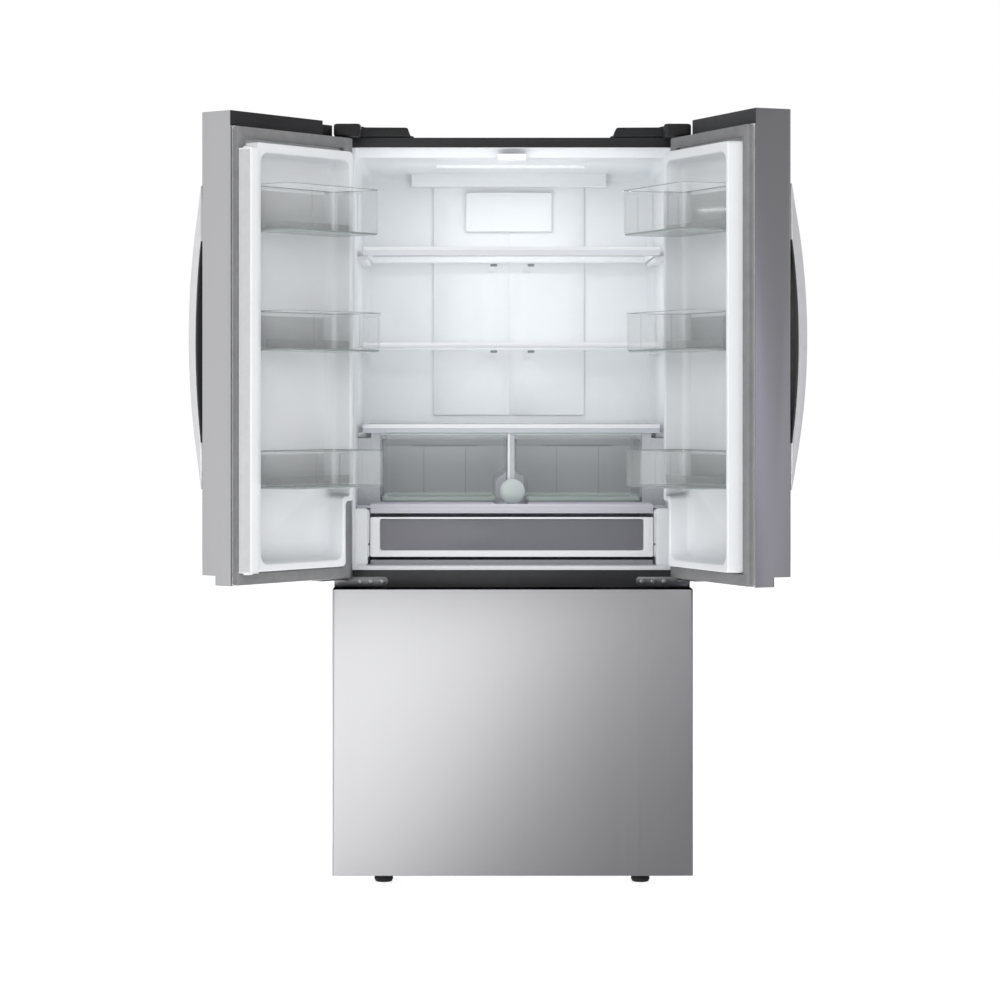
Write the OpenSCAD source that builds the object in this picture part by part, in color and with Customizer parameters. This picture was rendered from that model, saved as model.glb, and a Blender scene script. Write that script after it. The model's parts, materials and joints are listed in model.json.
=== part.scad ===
// French door refrigerator: a cabinet, two hinged doors with a flip mullion between them,
// and a bottom freezer drawer.
// X runs to the viewer's right, the doors face -Y and Z is up. The origin is on the floor,
// below the middle of the cabinet's front face.

/* [Cabinet] */
// Width across the side panels
case_w = 832; // [820:2:850]
// Height of the top panel above the floor
case_h = 1741; // [1736:1:1760]
// Depth from the front face to the back panel
case_d = 615; // [612:1:640]
// Underside of the base pan above the floor
base_z = 40; // [36:1:44]
// Thickness of the steel sheets
sheet = 1.2; // [0.8:0.1:1.5]

/* [Compartments] */
// Thickness of each side wall, steel to liner
wall = 48; // [46:1:52]
// Floor of the fresh food compartment
fresh_floor = 738; // [737:0.5:739]
// Top edge of the fresh food opening
opening_top = 1718; // [1716:1:1722]
// Ceiling of the fresh food compartment, behind its front step
ceiling = 1698; // [1696:1:1700]
// Inside depth of the fresh food compartment
fresh_depth = 556; // [550:1:560]
// Floor and ceiling of the freezer compartment
freezer_floor = 110; // [105:1:114]
freezer_ceiling = 640; // [636:1:644]
// Inside depth of the freezer compartment
freezer_depth = 470; // [465:1:472]
// Width of the pocket in the back foam that holds the cooling coil
coil_pocket_w = 620; // [610:1:640]

/* [Doors] */
// Width of each door
door_w = 414; // [412:0.5:414]
// Thickness of a door at its edges
door_t = 90; // [86:1:92]
// Extra thickness at the middle of a door's convex front
door_bulge = 3; // [1:0.5:5]
// Bottom edge of a door, and of its front half above the drawer
door_bottom = 713.5; // [712:0.5:714]
door_step = 735; // [732:1:740]
// Top edge of a door, and the foot of its dark top cap
door_top = 1769; // [1764:1:1770]
door_cap = 1735; // [1732:1:1736]
// Gap between a door's inner face and the cabinet, filled by the gasket
gasket_gap = 16; // [15.5:0.1:17]
// Hinge pin: distance from the door's hinge edge and from its inner face
pin_in = 15; // [14:0.5:16]
pin_out = 25; // [24:0.5:30]
// Angles at which the left and the right door stand open
left_open = 128.4; // [100:0.1:132]
right_open = 112.2; // [100:0.1:132]

/* [Freezer drawer] */
// Bottom and top edges of the drawer front
drawer_bottom = 30; // [28:1:34]
drawer_top = 690; // [686:1:692]
// Inside length of the basket, front to back
basket_l = 318; // [300:1:320]

/* [Hidden] */
half_w = case_w / 2;
inner_w = half_w - wall;               // half width inside both compartments
pin_x = half_w - pin_in;               // hinge pins: distance from the middle
pin_y = -(gasket_gap + pin_out);
pin_r = 6;
running = 0.05;                        // radial clearance of a turning fit
dyke_h = 50;                           // height of the raised frame of a door liner
dyke_side = 53;                        // hinge edge to the raised frame
dyke_lead = 380;                       // hinge edge to the frame's far side
dyke_low = 744;
dyke_high = 1699;
dyke_cut = 25;                         // its hinge side steps in by this much below dyke_cut_z
dyke_cut_z = 894;
seal_w = 26;
flip_x = 400;                          // axis of the flip mullion, in the door's frame
flip_y = 30;
flip_low = 743.5;
flip_high = 1683.5;
hinge_zone = 103;                      // behind its front, a door's cap stops this far from the hinge edge
rail_low = 652;                        // mullion rail between the compartments
rail_high = 728.8;
shelf_w = 355;                         // half width of a shelf
shelf_front = 150;
shelf_back = 535;
upper_shelf = 1473;                    // undersides of the shelves and of the crisper frame
middle_shelf = 1253;
crisper_top = 1048;
crisper_low = 884;
crisper_w = 309;                       // half width over both crispers
crisper_y = 144;                       // front of the crispers, clear of the shut doors' bins
pantry_w = 334;
pantry_low = 757;
pantry_high = 851;
pantry_y = 49;                         // front of the pantry drawer, clear of the flip mullion
cover_z = 872;                         // underside of the pantry cover
machine_y = 395;                       // machine compartment: front wall and ceiling
machine_z = 330;
foot_x = 300.5;
foot_y = 8;
roller_x = 330;
roller_y = 560;
roller_r = 18;

// ---- helpers ----

// a box between two corners
module span(a, b) { translate(a) cube(b - a); }

// a box and its mirror image across the middle plane
module both_sides(a, b) { span(a, b); mirror([1, 0, 0]) span(a, b); }

// points of an arc
function arc(cx, cy, r, from, to, n = 8) =
    [for (i = [0 : n]) let (a = from + (to - from) * i / n) [cx + r * cos(a), cy + r * sin(a)]];

// an outline in X and Z drawn out along Y, from y0 to y1
module along_y(y0, y1, points) {
    translate([0, y1, 0]) rotate([90, 0, 0]) linear_extrude(y1 - y0) polygon(points);
}

// rounded rectangle standing in X and Z, thick along Y from y0 to y1
module upright_slab(x0, x1, z0, z1, y0, y1, r) {
    along_y(y0, y1, concat(
        arc(x1 - r, z0 + r, r, -90, 0), arc(x1 - r, z1 - r, r, 0, 90),
        arc(x0 + r, z1 - r, r, 90, 180), arc(x0 + r, z0 + r, r, 180, 270)));
}

// a profile in Y and Z drawn out along X, across the middle plane
module across(half, points) {
    rotate([90, 0, 90]) translate([0, 0, -half]) linear_extrude(2 * half) polygon(points);
}

// an open box: outer corners a and b, wall thickness t and floor thickness t
module tray(a, b, t) {
    difference() {
        span(a, b);
        span(a + [t, t, t], b + [-t, -t, 1]);
    }
}

// the left door's frame: x from its hinge edge, y inwards from its inner face
module on_left_door() {
    translate([-pin_x, pin_y, 0]) rotate([0, 0, -left_open])
        translate([-pin_in, pin_out, 0]) children();
}

// the same frame for the right door, mirrored
module on_right_door() {
    translate([pin_x, pin_y, 0]) rotate([0, 0, right_open]) mirror([1, 0, 0])
        translate([-pin_in, pin_out, 0]) children();
}

// ---- cabinet shell ----

module side_panel() {
    span([-half_w, 0, base_z], [-half_w + sheet, case_d, case_h]);
    span([-half_w, 0, base_z], [-half_w + 18, sheet, opening_top]);
}
module side_panel_left() { color("dimgray") side_panel(); }
module side_panel_right() { color("dimgray") mirror([1, 0, 0]) side_panel(); }

module top_panel() {
    w = half_w - sheet;
    color("dimgray") {
        span([-w, 0, case_h - sheet], [w, case_d, case_h]);
        span([-w, 0, opening_top], [w, sheet, case_h]);
    }
}

module back_panel() {
    w = half_w - sheet;
    color("gray") span([-w, case_d - sheet, machine_z], [w, case_d, case_h - sheet]);
}

// base pan with a boss for each front foot and a bracket for each rear roller
module base_pan() {
    w = half_w - sheet;
    color("dimgray") difference() {
        union() {
            span([-w, sheet, base_z], [w, case_d - sheet, base_z + 2]);
            for (s = [-1, 1]) translate([s * foot_x, foot_y + 3, base_z - 12])
                cylinder(r = 14, h = 14, $fn = 48);
            for (s = [-1, 1]) for (e = [-13, 11]) translate([s * roller_x + e, 0, 0])
                span([0, roller_y - 16, 10], [2, roller_y + 16, base_z]);
        }
        for (s = [-1, 1]) translate([s * foot_x, foot_y, base_z - 20])
            cylinder(r = 5 + running, h = 60, $fn = 48);
        for (s = [-1, 1]) translate([s * roller_x - 20, roller_y, roller_r]) rotate([0, 90, 0])
            cylinder(r = 4 + running, h = 40, $fn = 48);
    }
}

// ---- insulation and liners ----

// outline of a compartment in Y and Z, grown by g
function fresh_outline(g) = [[-1, fresh_floor - g], [fresh_depth + g, fresh_floor - g],
    [fresh_depth + g, ceiling + g], [42 + g, ceiling + g],
    [42 + g, opening_top - 1.1 + min(g, 1)], [-1, opening_top - 1.1 + min(g, 1)]];
function freezer_outline(g) = [[-1, freezer_floor - g], [345 + g, freezer_floor - g],
    [345 + g, 350 - g], [freezer_depth + g, 350 - g],
    [freezer_depth + g, freezer_ceiling + g], [-1, freezer_ceiling + g]];
liner_t = 2;

module insulation_foam() {
    w = half_w - sheet;
    color("khaki") difference() {
        span([-w, liner_t + 0.1, base_z + 2], [w, case_d - sheet, case_h - sheet]);
        across(inner_w + liner_t, fresh_outline(liner_t));
        across(inner_w + liner_t, freezer_outline(liner_t));
        span([-w - 1, machine_y, 0], [w + 1, case_d, machine_z]);
        span([-coil_pocket_w / 2, freezer_depth + liner_t, 355],
            [coil_pocket_w / 2, 540, freezer_ceiling]);
        span([-w - 1, 0, rail_low], [w + 1, 40, rail_high]);
        for (s = [-1, 1]) translate([s * foot_x, foot_y, 0])
            cylinder(r = 7, h = base_z + 30, $fn = 48);
    }
}

// moulded ledges and rails on both side walls of the fresh food liner
module liner_ledges() {
    for (z = [upper_shelf, middle_shelf, crisper_top])
        both_sides([shelf_w - 10, shelf_front - 10, z - 12], [inner_w + 0.5, 500, z]);
    both_sides([pantry_w + 5, 37, fresh_floor - 0.5], [inner_w + 0.5, 520, cover_z]);
}

module fresh_food_liner() {
    color("white") {
        difference() {
            union() {
                across(inner_w + liner_t, fresh_outline(liner_t));
                span([-half_w + 19, 0, rail_high + 0.2], [half_w - 19, liner_t, opening_top - 0.1]);
            }
            across(inner_w, fresh_outline(0));
            span([-half_w, -2, rail_low], [half_w, 0, case_h]);
            span([-inner_w - 4, -2, rail_low], [inner_w + 4, liner_t + 38, rail_high + 0.2]);
        }
        liner_ledges();
    }
}

module freezer_liner() {
    color("white") difference() {
        union() {
            across(inner_w + liner_t, freezer_outline(liner_t));
            span([-half_w + 19, 0, base_z + 4], [half_w - 19, liner_t, rail_low - 0.2]);
        }
        across(inner_w, freezer_outline(0));
        span([-half_w, -2, 0], [half_w, 0, case_h]);
    }
}

module centre_mullion() {
    color([0.2, 0.2, 0.21]) {
        span([-half_w + 18.2, 0, rail_low], [half_w - 18.2, 40, rail_high]);
        both_sides([half_w - 18.2, sheet + 0.2, rail_low], [half_w - sheet - 0.2, 40, rail_high]);
    }
}

// duct on the back wall: a header under the ceiling, an upper cover and a long centre panel
module air_duct_panel() {
    color("whitesmoke") difference() {
        union() {
            span([-245, 508, 1664], [245, fresh_depth, ceiling - 0.2]);
            span([-109, 538, 1552], [109, fresh_depth, 1652]);
            span([-190, 548, 1090], [190, fresh_depth, 1664]);
        }
        span([-0.8, 546, 1080], [0.8, 549, 1551]);
        for (z = [upper_shelf - 24, middle_shelf - 24]) for (s = [-46, 46])
            span([s - 9, 546, z], [s + 9, 552, z + 7]);
    }
}

module led_lamp_cover() {
    color("white") span([-181, 262, ceiling - 6], [181, 288, ceiling - 0.1]);
}

// block with a groove that turns the flip mullion as the left door shuts
module mullion_guide() {
    color("white") difference() {
        upright_slab(-33.5, 33.5, 1689, ceiling + 6, 6, 41.8, 3);
        span([-6, 5, 1688], [8, 26, 1693]);
    }
}

// ---- shelves and drawer frames ----

module shelf_frame(z, h) {
    difference() {
        span([-shelf_w, shelf_front, z], [shelf_w, shelf_back, z + h]);
        span([-shelf_w + 14, shelf_front + 26, z - 1], [shelf_w - 14, shelf_back - 16, z + h + 1]);
        span([-shelf_w + 5, shelf_front + 14, z + h - 5],
            [shelf_w - 5, shelf_back - 6, z + h + 1]);
    }
}
module shelf_frames() {
    color("white") {
        shelf_frame(upper_shelf + 0.2, 20);
        shelf_frame(middle_shelf + 0.2, 11);
    }
}

module glass_plate(z, front, side) {
    span([-side, front, z], [side, shelf_back - 6.5, z + 4]);
}
module shelf_glasses() {
    color([0.8, 0.92, 0.9, 0.4]) {
        glass_plate(upper_shelf + 15.4, shelf_front + 14.5, shelf_w - 5.5);
        glass_plate(middle_shelf + 6.4, shelf_front + 14.5, shelf_w - 5.5);
        glass_plate(crisper_top + 16.4, crisper_y + 26, shelf_w - 5.5);
    }
}

// frame over the crispers: a pillar with a rounded foot between them, and a front strip beside each
module crisper_frame() {
    y = crisper_y;
    color("whitesmoke") {
        difference() {
            span([-shelf_w, y - 2, crisper_top + 0.2], [shelf_w, shelf_back, crisper_top + 21]);
            span([-shelf_w + 14, y + 36, crisper_top - 1], [-9, shelf_back - 16, crisper_top + 22]);
            span([9, y + 36, crisper_top - 1], [shelf_w - 14, shelf_back - 16, crisper_top + 22]);
            span([-shelf_w + 5, y + 25, crisper_top + 16.2],
                [shelf_w - 5, shelf_back - 6, crisper_top + 22]);
        }
        span([-8, y + 2, cover_z + 4.3], [8, 500, crisper_top + 0.3]);
        both_sides([crisper_w + 4, y + 4, cover_z + 4.3], [crisper_w + 26, 500, crisper_top + 0.3]);
        both_sides([crisper_w + 4, y + 4, cover_z + 4.3], [inner_w - 0.2, y + 12, crisper_top - 12.2]);
        intersection() {
            translate([3, y + 2.5, 909]) rotate([90, 0, 0]) cylinder(r = 30, h = 8, $fn = 64);
            span([-40, y - 14, cover_z + 4.3], [40, y + 6, 960]);
        }
    }
}

// floor under the crispers, which is also the lid of the pantry drawer
module pantry_cover() {
    color("gainsboro") {
        span([-inner_w + 1, pantry_y + 5, cover_z + 0.2], [inner_w - 1, 520, cover_z + 4]);
        span([-pantry_w + 1, pantry_y, cover_z - 12], [pantry_w - 1, pantry_y + 5.1, cover_z + 10]);
        span([-pantry_w + 1, crisper_y - 6, cover_z + 3.9], [-40, crisper_y + 1, cover_z + 12]);
        span([40, crisper_y - 6, cover_z + 3.9], [pantry_w - 1, crisper_y + 1, cover_z + 12]);
    }
}

// ---- hinges ----

module hinge_cover() {
    w = half_w;
    color([0.16, 0.16, 0.17]) difference() {
        union() {
            translate([0, 95, 0]) rotate([90, 0, 0]) linear_extrude(96) polygon(
                [[230, case_h + 0.2], [244, case_h + 26], [250, case_h + 27],
                 [w - 4, case_h + 27], [w - 1, case_h + 24], [w - 1, case_h + 0.2]]);
            span([w - 64, -66, case_h - 2], [w - 1, -0.2, case_h + 27]);
        }
        span([248, 3, case_h - 1], [w - 4, 92, case_h + 23]);
        span([w - 61, -63, case_h - 5], [w - 4, 4, case_h + 23]);
    }
}
module hinge_covers() { hinge_cover(); mirror([1, 0, 0]) hinge_cover(); }

// hinge plate on the cabinet's top, with its pin hanging into the door
module top_hinge() {
    color("silver") {
        span([pin_x - 22, pin_y - 14, case_h + 0.2], [pin_x + 10, 86, case_h + 4.2]);
        span([300, 30, case_h + 0.2], [pin_x - 21.9, 86, case_h + 4.2]);
        translate([pin_x, pin_y, door_cap - 30]) cylinder(r = pin_r, h = 44, $fn = 48);
        for (x = [320, 360, 392]) translate([x, 58, case_h + 4])
            cylinder(r = 7, h = 5, $fn = 24);
    }
}
module top_hinges() { top_hinge(); mirror([1, 0, 0]) top_hinge(); }

// bracket on the mullion rail, with its pin standing up into the door
module middle_hinge() {
    color("silver") {
        upright_slab(290, half_w - 2, 692, 713, -3, -0.1, 8);
        span([pin_x - 16, pin_y - 14, 704], [half_w - 3, -2, 708]);
        translate([pin_x, pin_y, 706]) cylinder(r = pin_r, h = 32, $fn = 48);
        for (x = [304, 330, 356]) translate([x, -2, 702.5]) rotate([90, 0, 0])
            cylinder(r = 5.5, h = 4, $fn = 24);
    }
}
module middle_hinges() { middle_hinge(); mirror([1, 0, 0]) middle_hinge(); }

// ---- cooling ----

module compressor() {
    color([0.12, 0.12, 0.13]) translate([-210, 500, 0]) {
        translate([0, 0, base_z + 22]) cylinder(r = 82, h = 120, $fn = 64);
        translate([0, 0, base_z + 142]) cylinder(r1 = 82, r2 = 45, h = 32, $fn = 64);
        translate([0, 0, base_z + 4]) cylinder(r1 = 60, r2 = 82, h = 18.5, $fn = 64);
        span([-70, -70, base_z + 2], [70, 70, base_z + 5]);
        translate([36, 0, base_z + 158]) rotate([0, -20, 0]) cylinder(r = 5, h = 50, $fn = 24);
    }
}

module condenser() {
    color("dimgray") translate([0, 0, base_z + 12]) {
        for (x = [130 : 12 : 298]) span([x, 430, 0], [x + 1.2, 580, 190]);
        for (y = [450, 480, 510, 540]) for (z = [25 : 35 : 165])
            translate([124, y + 10, z]) rotate([0, 90, 0]) cylinder(r = 4, h = 182, $fn = 24);
        span([132, 432, -10], [298, 440, 1]);
        span([132, 570, -10], [298, 578, 1]);
    }
}

// perforated cover over the machine compartment at the back
module machine_cover() {
    w = half_w - sheet;
    color("dimgray") difference() {
        span([-w, case_d - 2, base_z + 3], [w, case_d, machine_z - 0.3]);
        for (x = [100 : 22 : 320]) span([x, case_d - 5, 80], [x + 10, case_d + 2, 260]);
        for (x = [-330 : 22 : -120]) span([x, case_d - 5, 80], [x + 10, case_d + 2, 260]);
        translate([0, case_d - 5, 180]) rotate([-90, 0, 0]) cylinder(r = 9, h = 9, $fn = 48);
    }
}

module cord_gland() {
    color([0.1, 0.1, 0.1]) translate([0, case_d, 180]) rotate([-90, 0, 0]) difference() {
        union() {
            translate([0, 0, -10]) cylinder(r = 8.9, h = 12, $fn = 48);
            cylinder(r = 13, h = 5, $fn = 48);
            translate([0, 0, -14]) cylinder(r = 12, h = 11.9, $fn = 48);
        }
        translate([0, 0, -20]) cylinder(r = 4.2, h = 40, $fn = 48);
    }
}

module evaporator() {
    color("silver") translate([0, 0, 370]) {
        for (x = [-260 : 20 : 260]) span([x, 480, 0], [x + 1, 530, 150]);
        for (y = [492, 518]) for (z = [20 : 35 : 125])
            translate([-268, y, z]) rotate([0, 90, 0]) cylinder(r = 4, h = 536, $fn = 24);
    }
}

// a fan: hub, blades and shaft along +Z
module fan(r, depth, blades) {
    cylinder(r = r * 0.34, h = depth, $fn = 48);
    for (i = [0 : blades - 1]) rotate([0, 0, 360 * i / blades])
        translate([r * 0.3, 0, depth / 2]) rotate([32, 0, 0])
            span([0, -r * 0.22, -1], [r * 0.66, r * 0.22, 1]);
    translate([0, 0, -8]) cylinder(r = 2.5, h = depth + 12, $fn = 24);
}
module evaporator_fan() {
    color("ivory") translate([0, 498, 588]) rotate([-90, 0, 0]) fan(44, 18, 5);
}
module condenser_fan() {
    color([0.15, 0.15, 0.15]) translate([60, 505, 155]) rotate([0, 90, 0]) fan(72, 24, 6);
}

// ---- what it stands on ----

module front_foot(x) {
    color([0.08, 0.08, 0.08]) translate([x, foot_y, 0]) {
        cylinder(r1 = 19, r2 = 22, h = 6, $fn = 48);
        translate([0, 0, 6]) cylinder(r = 22, h = 16, $fn = 48);
        translate([0, 0, 22]) cylinder(r = 5, h = 42, $fn = 48);
    }
}
module front_foot_left() { front_foot(-foot_x); }
module front_foot_right() { front_foot(foot_x); }

module rear_rollers() {
    color([0.08, 0.08, 0.08]) for (s = [-1, 1])
        translate([s * roller_x, roller_y, roller_r]) rotate([0, 90, 0]) {
            translate([0, 0, -9]) cylinder(r = roller_r, h = 18, $fn = 64);
            translate([0, 0, -17]) cylinder(r = 4, h = 34, $fn = 48);
        }
}

// ---- doors, each drawn shut in its own frame: x from the hinge edge, -y outwards ----

// plan of a door slab, shrunk by i on every side; its front is slightly convex
corner_r = 7;
function door_plan(i) = concat(
    [[i, -i]],
    arc(corner_r, -(door_t - corner_r), corner_r - i, 180, 270),
    [for (k = [1 : 15]) let (s = 2 * k / 16 - 1)
        [corner_r + (door_w - 2 * corner_r) * k / 16, -(door_t - i) - door_bulge * (1 - s * s)]],
    arc(door_w - corner_r, -(door_t - corner_r), corner_r - i, 270, 360),
    [[door_w - i, -i]]);

module door_slab(i, z0, z1) { translate([0, 0, z0]) linear_extrude(z1 - z0) polygon(door_plan(i)); }

// the pin holes at a door's two ends
module pin_hole(z0, z1, r) { translate([pin_in, -pin_out, z0]) cylinder(r = r, h = z1 - z0, $fn = 48); }

step_y = -45;     // the front half of a door ends higher than its inner half
notch = [[-1, -62, door_cap], [hinge_zone, 2, door_top + 1]];   // room for the hinge cover's arm

module door_skin() {
    color("lightgray") difference() {
        union() {
            door_slab(0, door_step, door_top);
            intersection() {
                door_slab(0, door_bottom, door_step + 1);
                span([-1, step_y, door_bottom], [door_w + 1, 1, door_step + 1]);
            }
        }
        door_slab(1, door_bottom - 1, door_top + 1);
        span([6, -1.5, door_bottom - 1], [door_w - 6, 1, door_top + 1]);
        span([-1, -1.5, door_cap], [door_w + 1, 1, door_top + 1]);
        span(notch[0], notch[1]);
    }
    color("silver") span([22, -42, 708.7], [96, -12, door_bottom - 0.1]);
}

module door_core() {
    color("khaki") difference() {
        union() {
            door_slab(1.05, door_step + 8, door_cap - 8);
            intersection() {
                door_slab(1.05, door_bottom + 8, door_step + 9);
                span([-1, step_y, door_bottom], [door_w + 1, 1, door_step + 10]);
            }
        }
        pin_hole(door_bottom, door_bottom + 50, 12.5);
        pin_hole(door_cap - 50, door_cap, 12.5);
    }
}

module door_caps() {
    color([0.17, 0.17, 0.18]) {
        difference() {
            union() {
                door_slab(1.05, door_cap - 8, door_cap);
                difference() {
                    door_slab(1.05, door_cap - 0.1, door_top);
                    span(notch[0], notch[1]);
                }
                pin_hole(door_cap - 38, door_cap - 7, 12);
            }
            pin_hole(door_cap - 60, door_cap + 10, pin_r + running);
        }
        difference() {
            union() {
                intersection() {
                    door_slab(1.05, door_bottom, door_bottom + 8);
                    span([-1, step_y, 0], [door_w + 1, 1, door_step]);
                }
                intersection() {
                    door_slab(1.05, door_step, door_step + 8);
                    span([-1, -door_t - 10, 0], [door_w + 1, step_y, door_step + 10]);
                }
                span([1.05, step_y - 2, door_bottom], [door_w - 1.05, step_y, door_step + 1]);
                pin_hole(door_bottom, door_bottom + 32, 12);
            }
            pin_hole(door_bottom - 10, door_bottom + 60, pin_r + running);
        }
    }
}

// outline of the raised frame in X and Z, i further in at its sides, with corners of radius r
function dyke_plan(i, r, low, high) = concat(
    arc(dyke_side + dyke_cut + i + r, low + r, r, 180, 270), arc(dyke_lead - i - r, low + r, r, 270, 360),
    arc(dyke_lead - i - r, high - r, r, 0, 90), arc(dyke_side + i + r, high - r, r, 90, 180),
    arc(dyke_side + i + 8, dyke_cut_z + i + 8, 8, 180, 270),
    arc(dyke_side + dyke_cut + i - 10, dyke_cut_z + i - 10, 10, 90, 0));

// white inner panel with its raised frame; post adds the flip mullion's two pivots
module door_liner(post) {
    color("white") difference() {
        union() {
            span([6.1, -1, door_bottom + 0.2], [door_w - 6.1, 1, door_cap]);
            difference() {
                along_y(0.9, dyke_h, dyke_plan(0, 12, dyke_low, dyke_high));
                along_y(0.5, dyke_h + 1, dyke_plan(13, 26, dyke_low + 18, dyke_high - 34));
            }
            if (post) for (z = [flip_low - 4.4, flip_high + 0.4])
                span([dyke_lead - 0.5, 17, z], [flip_x + 10, 44, z + 4]);
            if (post) span([dyke_lead - 20, 17, flip_low - 4.4], [dyke_lead, 44, dyke_low + 4]);
        }
        if (post) translate([flip_x, flip_y, flip_low - 10])
            cylinder(r = 3 + running, h = flip_high - flip_low + 20, $fn = 32);
    }
}

module door_gasket() {
    color("darkgray") difference() {
        span([22.5, 1.05, 716], [door_w - 6.5, gasket_gap - 0.25, dyke_high + seal_w + 8]);
        span([22.5 + seal_w, 0, 716 + seal_w], [door_w - 6.5 - seal_w, gasket_gap, dyke_high + 8]);
    }
}

// curved pull: a bow in Y and Z, flush with the door's far edge
handle_low = 924;
handle_high = 1608;
handle_w = 34;
handle_rise = 42;
function bow_r(chord, rise) = (chord * chord / 4 + rise * rise) / (2 * rise);
module handle() {
    chord = handle_high - handle_low;
    gap = 462;
    gap_rise = 17;
    outer_r = bow_r(chord, handle_rise);
    inner_r = bow_r(gap, gap_rise);
    mid = (handle_high + handle_low) / 2 - 10;
    color("lightgray") difference() {
        translate([door_w - handle_w, -door_t, 0]) rotate([90, 0, 90])
            linear_extrude(handle_w) difference() {
                intersection() {
                    translate([outer_r - handle_rise, (handle_high + handle_low) / 2])
                        circle(r = outer_r, $fn = 96);
                    translate([-handle_rise - 1, handle_low])
                        square([handle_rise + 1 + corner_r, chord]);
                }
                translate([inner_r - gap_rise, mid]) circle(r = inner_r, $fn = 96);
            }
        door_slab(0, handle_low - 1, handle_high + 1);
    }
}

// door bin: it hooks inside the raised frame and widens in front of it
module door_bin(z0, z1, reach) {
    t = 3;
    u0 = dyke_side + 4;
    u1 = 366;
    r0 = 14;
    r1 = min(30, reach - dyke_h - 6);
    module plan(i) {
        translate([dyke_side + 15 + i, 3 + i]) square([dyke_lead - dyke_side - 30 - 2 * i, 50]);
        polygon(concat([[u0 + i, dyke_h + 1 + i], [u1 - i, dyke_h + 1 + i]],
            arc(u1 - r1, reach - r1, r1 - i, 0, 90), arc(u0 + r0, reach - r0, r0 - i, 90, 180)));
    }
    color([0.75, 0.85, 0.88, 0.5]) difference() {
        translate([0, 0, z0]) linear_extrude(z1 - z0) plan(0);
        translate([0, 0, z0 + t]) linear_extrude(z1 - z0) plan(t);
    }
}

module left_door_skin() { on_left_door() door_skin(); }
module left_door_core() { on_left_door() door_core(); }
module left_door_liner() { on_left_door() door_liner(true); }
module left_door_gasket() { on_left_door() door_gasket(); }
module left_door_caps() { on_left_door() door_caps(); }
module left_handle() { on_left_door() handle(); }
module left_bin_upper() { on_left_door() door_bin(1502, 1606, 134); }
module left_bin_middle() { on_left_door() door_bin(1236, 1325, 140); }
module left_bin_lower() { on_left_door() door_bin(929, 1013, 148); }
module right_door_skin() { on_right_door() door_skin(); }
module right_door_core() { on_right_door() door_core(); }
module right_door_liner() { on_right_door() door_liner(false); }
module right_door_gasket() { on_right_door() door_gasket(); }
module right_door_caps() { on_right_door() door_caps(); }
module right_handle() { on_right_door() handle(); }
module right_bin_upper() { on_right_door() door_bin(1502, 1606, 156); }
module right_bin_middle() { on_right_door() door_bin(1236, 1325, 148); }
module right_bin_lower() { on_right_door() door_bin(929, 1013, 150); }

// bar that seals the gap between the doors; drawn folded against the left door's frame
module flip_mullion() {
    color("gainsboro") on_left_door() {
        translate([flip_x, flip_y, flip_low]) cylinder(r = 14, h = flip_high - flip_low, $fn = 48);
        span([flip_x - 14, flip_y, flip_low], [flip_x + 14, flip_y + 32, flip_high]);
        translate([flip_x, flip_y, flip_low - 4.2])
            cylinder(r = 3, h = flip_high - flip_low + 8.4, $fn = 32);
    }
}

// ---- freezer drawer ----

front_y = -gasket_gap - door_t;      // front face of the drawer
front_r = 6;
function drawer_plan(i) = concat(
    [[half_w - i, -gasket_gap - i], [-half_w + i, -gasket_gap - i]],
    arc(-half_w + front_r, front_y + front_r, front_r - i, 180, 270),
    arc(half_w - front_r, front_y + front_r, front_r - i, 270, 360));
module drawer_slab(i, z0, z1) {
    translate([0, 0, z0]) linear_extrude(z1 - z0) polygon(drawer_plan(i));
}

module drawer_skin() {
    color("lightgray") difference() {
        drawer_slab(0, drawer_bottom, drawer_top);
        drawer_slab(1, drawer_bottom + 1, drawer_top + 1);
        span([-half_w + 8, -gasket_gap - 2, 0], [half_w - 8, 0, drawer_top + 1]);
    }
}

grip_low = 668;       // floor of the pull along the drawer's top edge
module drawer_core() {
    color("khaki") difference() {
        union() {
            drawer_slab(1.05, drawer_bottom + 1.05, drawer_top - 4);
            span([-half_w + 8.1, -gasket_gap - 2, drawer_bottom + 1.05],
                [half_w - 8.1, -gasket_gap, drawer_top - 4]);
        }
        span([-330, front_y + 18, grip_low - 4], [330, front_y + 60, drawer_top]);
    }
}

module drawer_cap() {
    color([0.2, 0.2, 0.21]) difference() {
        union() {
            drawer_slab(1.05, drawer_top - 4, drawer_top);
            span([-329.9, front_y + 18.1, grip_low - 3.9], [329.9, front_y + 59.9, drawer_top]);
        }
        span([-327, front_y + 21, grip_low], [327, front_y + 57, drawer_top + 1]);
    }
}

module drawer_gasket() {
    color("darkgray") difference() {
        span([-half_w + 14, -gasket_gap + 0.05, drawer_bottom + 24],
            [half_w - 14, -0.25, drawer_top - 8]);
        span([-half_w + 40, -gasket_gap - 1, drawer_bottom + 50],
            [half_w - 40, 1, drawer_top - 34]);
    }
}

// three-part slides: rail on the liner, carriage, and runner on the drawer
slide_low = 300;
slide_high = 336;
module slide_rails() {
    color("silver") both_sides([inner_w - 12, 12, slide_low], [inner_w - 0.1, 332, slide_high]);
}
module slide_carriages() {
    color("silver")
        both_sides([inner_w - 17, 12, slide_low + 3], [inner_w - 12.4, 332, slide_high - 3]);
}
module drawer_runners() {
    color("silver") {
        both_sides([inner_w - 22, -gasket_gap + 0.05, slide_low + 3],
            [inner_w - 17.4, 326, slide_high - 3]);
        both_sides([inner_w - 30, -gasket_gap + 0.05, 180], [inner_w - 22, -gasket_gap + 4, 600]);
    }
}

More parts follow.
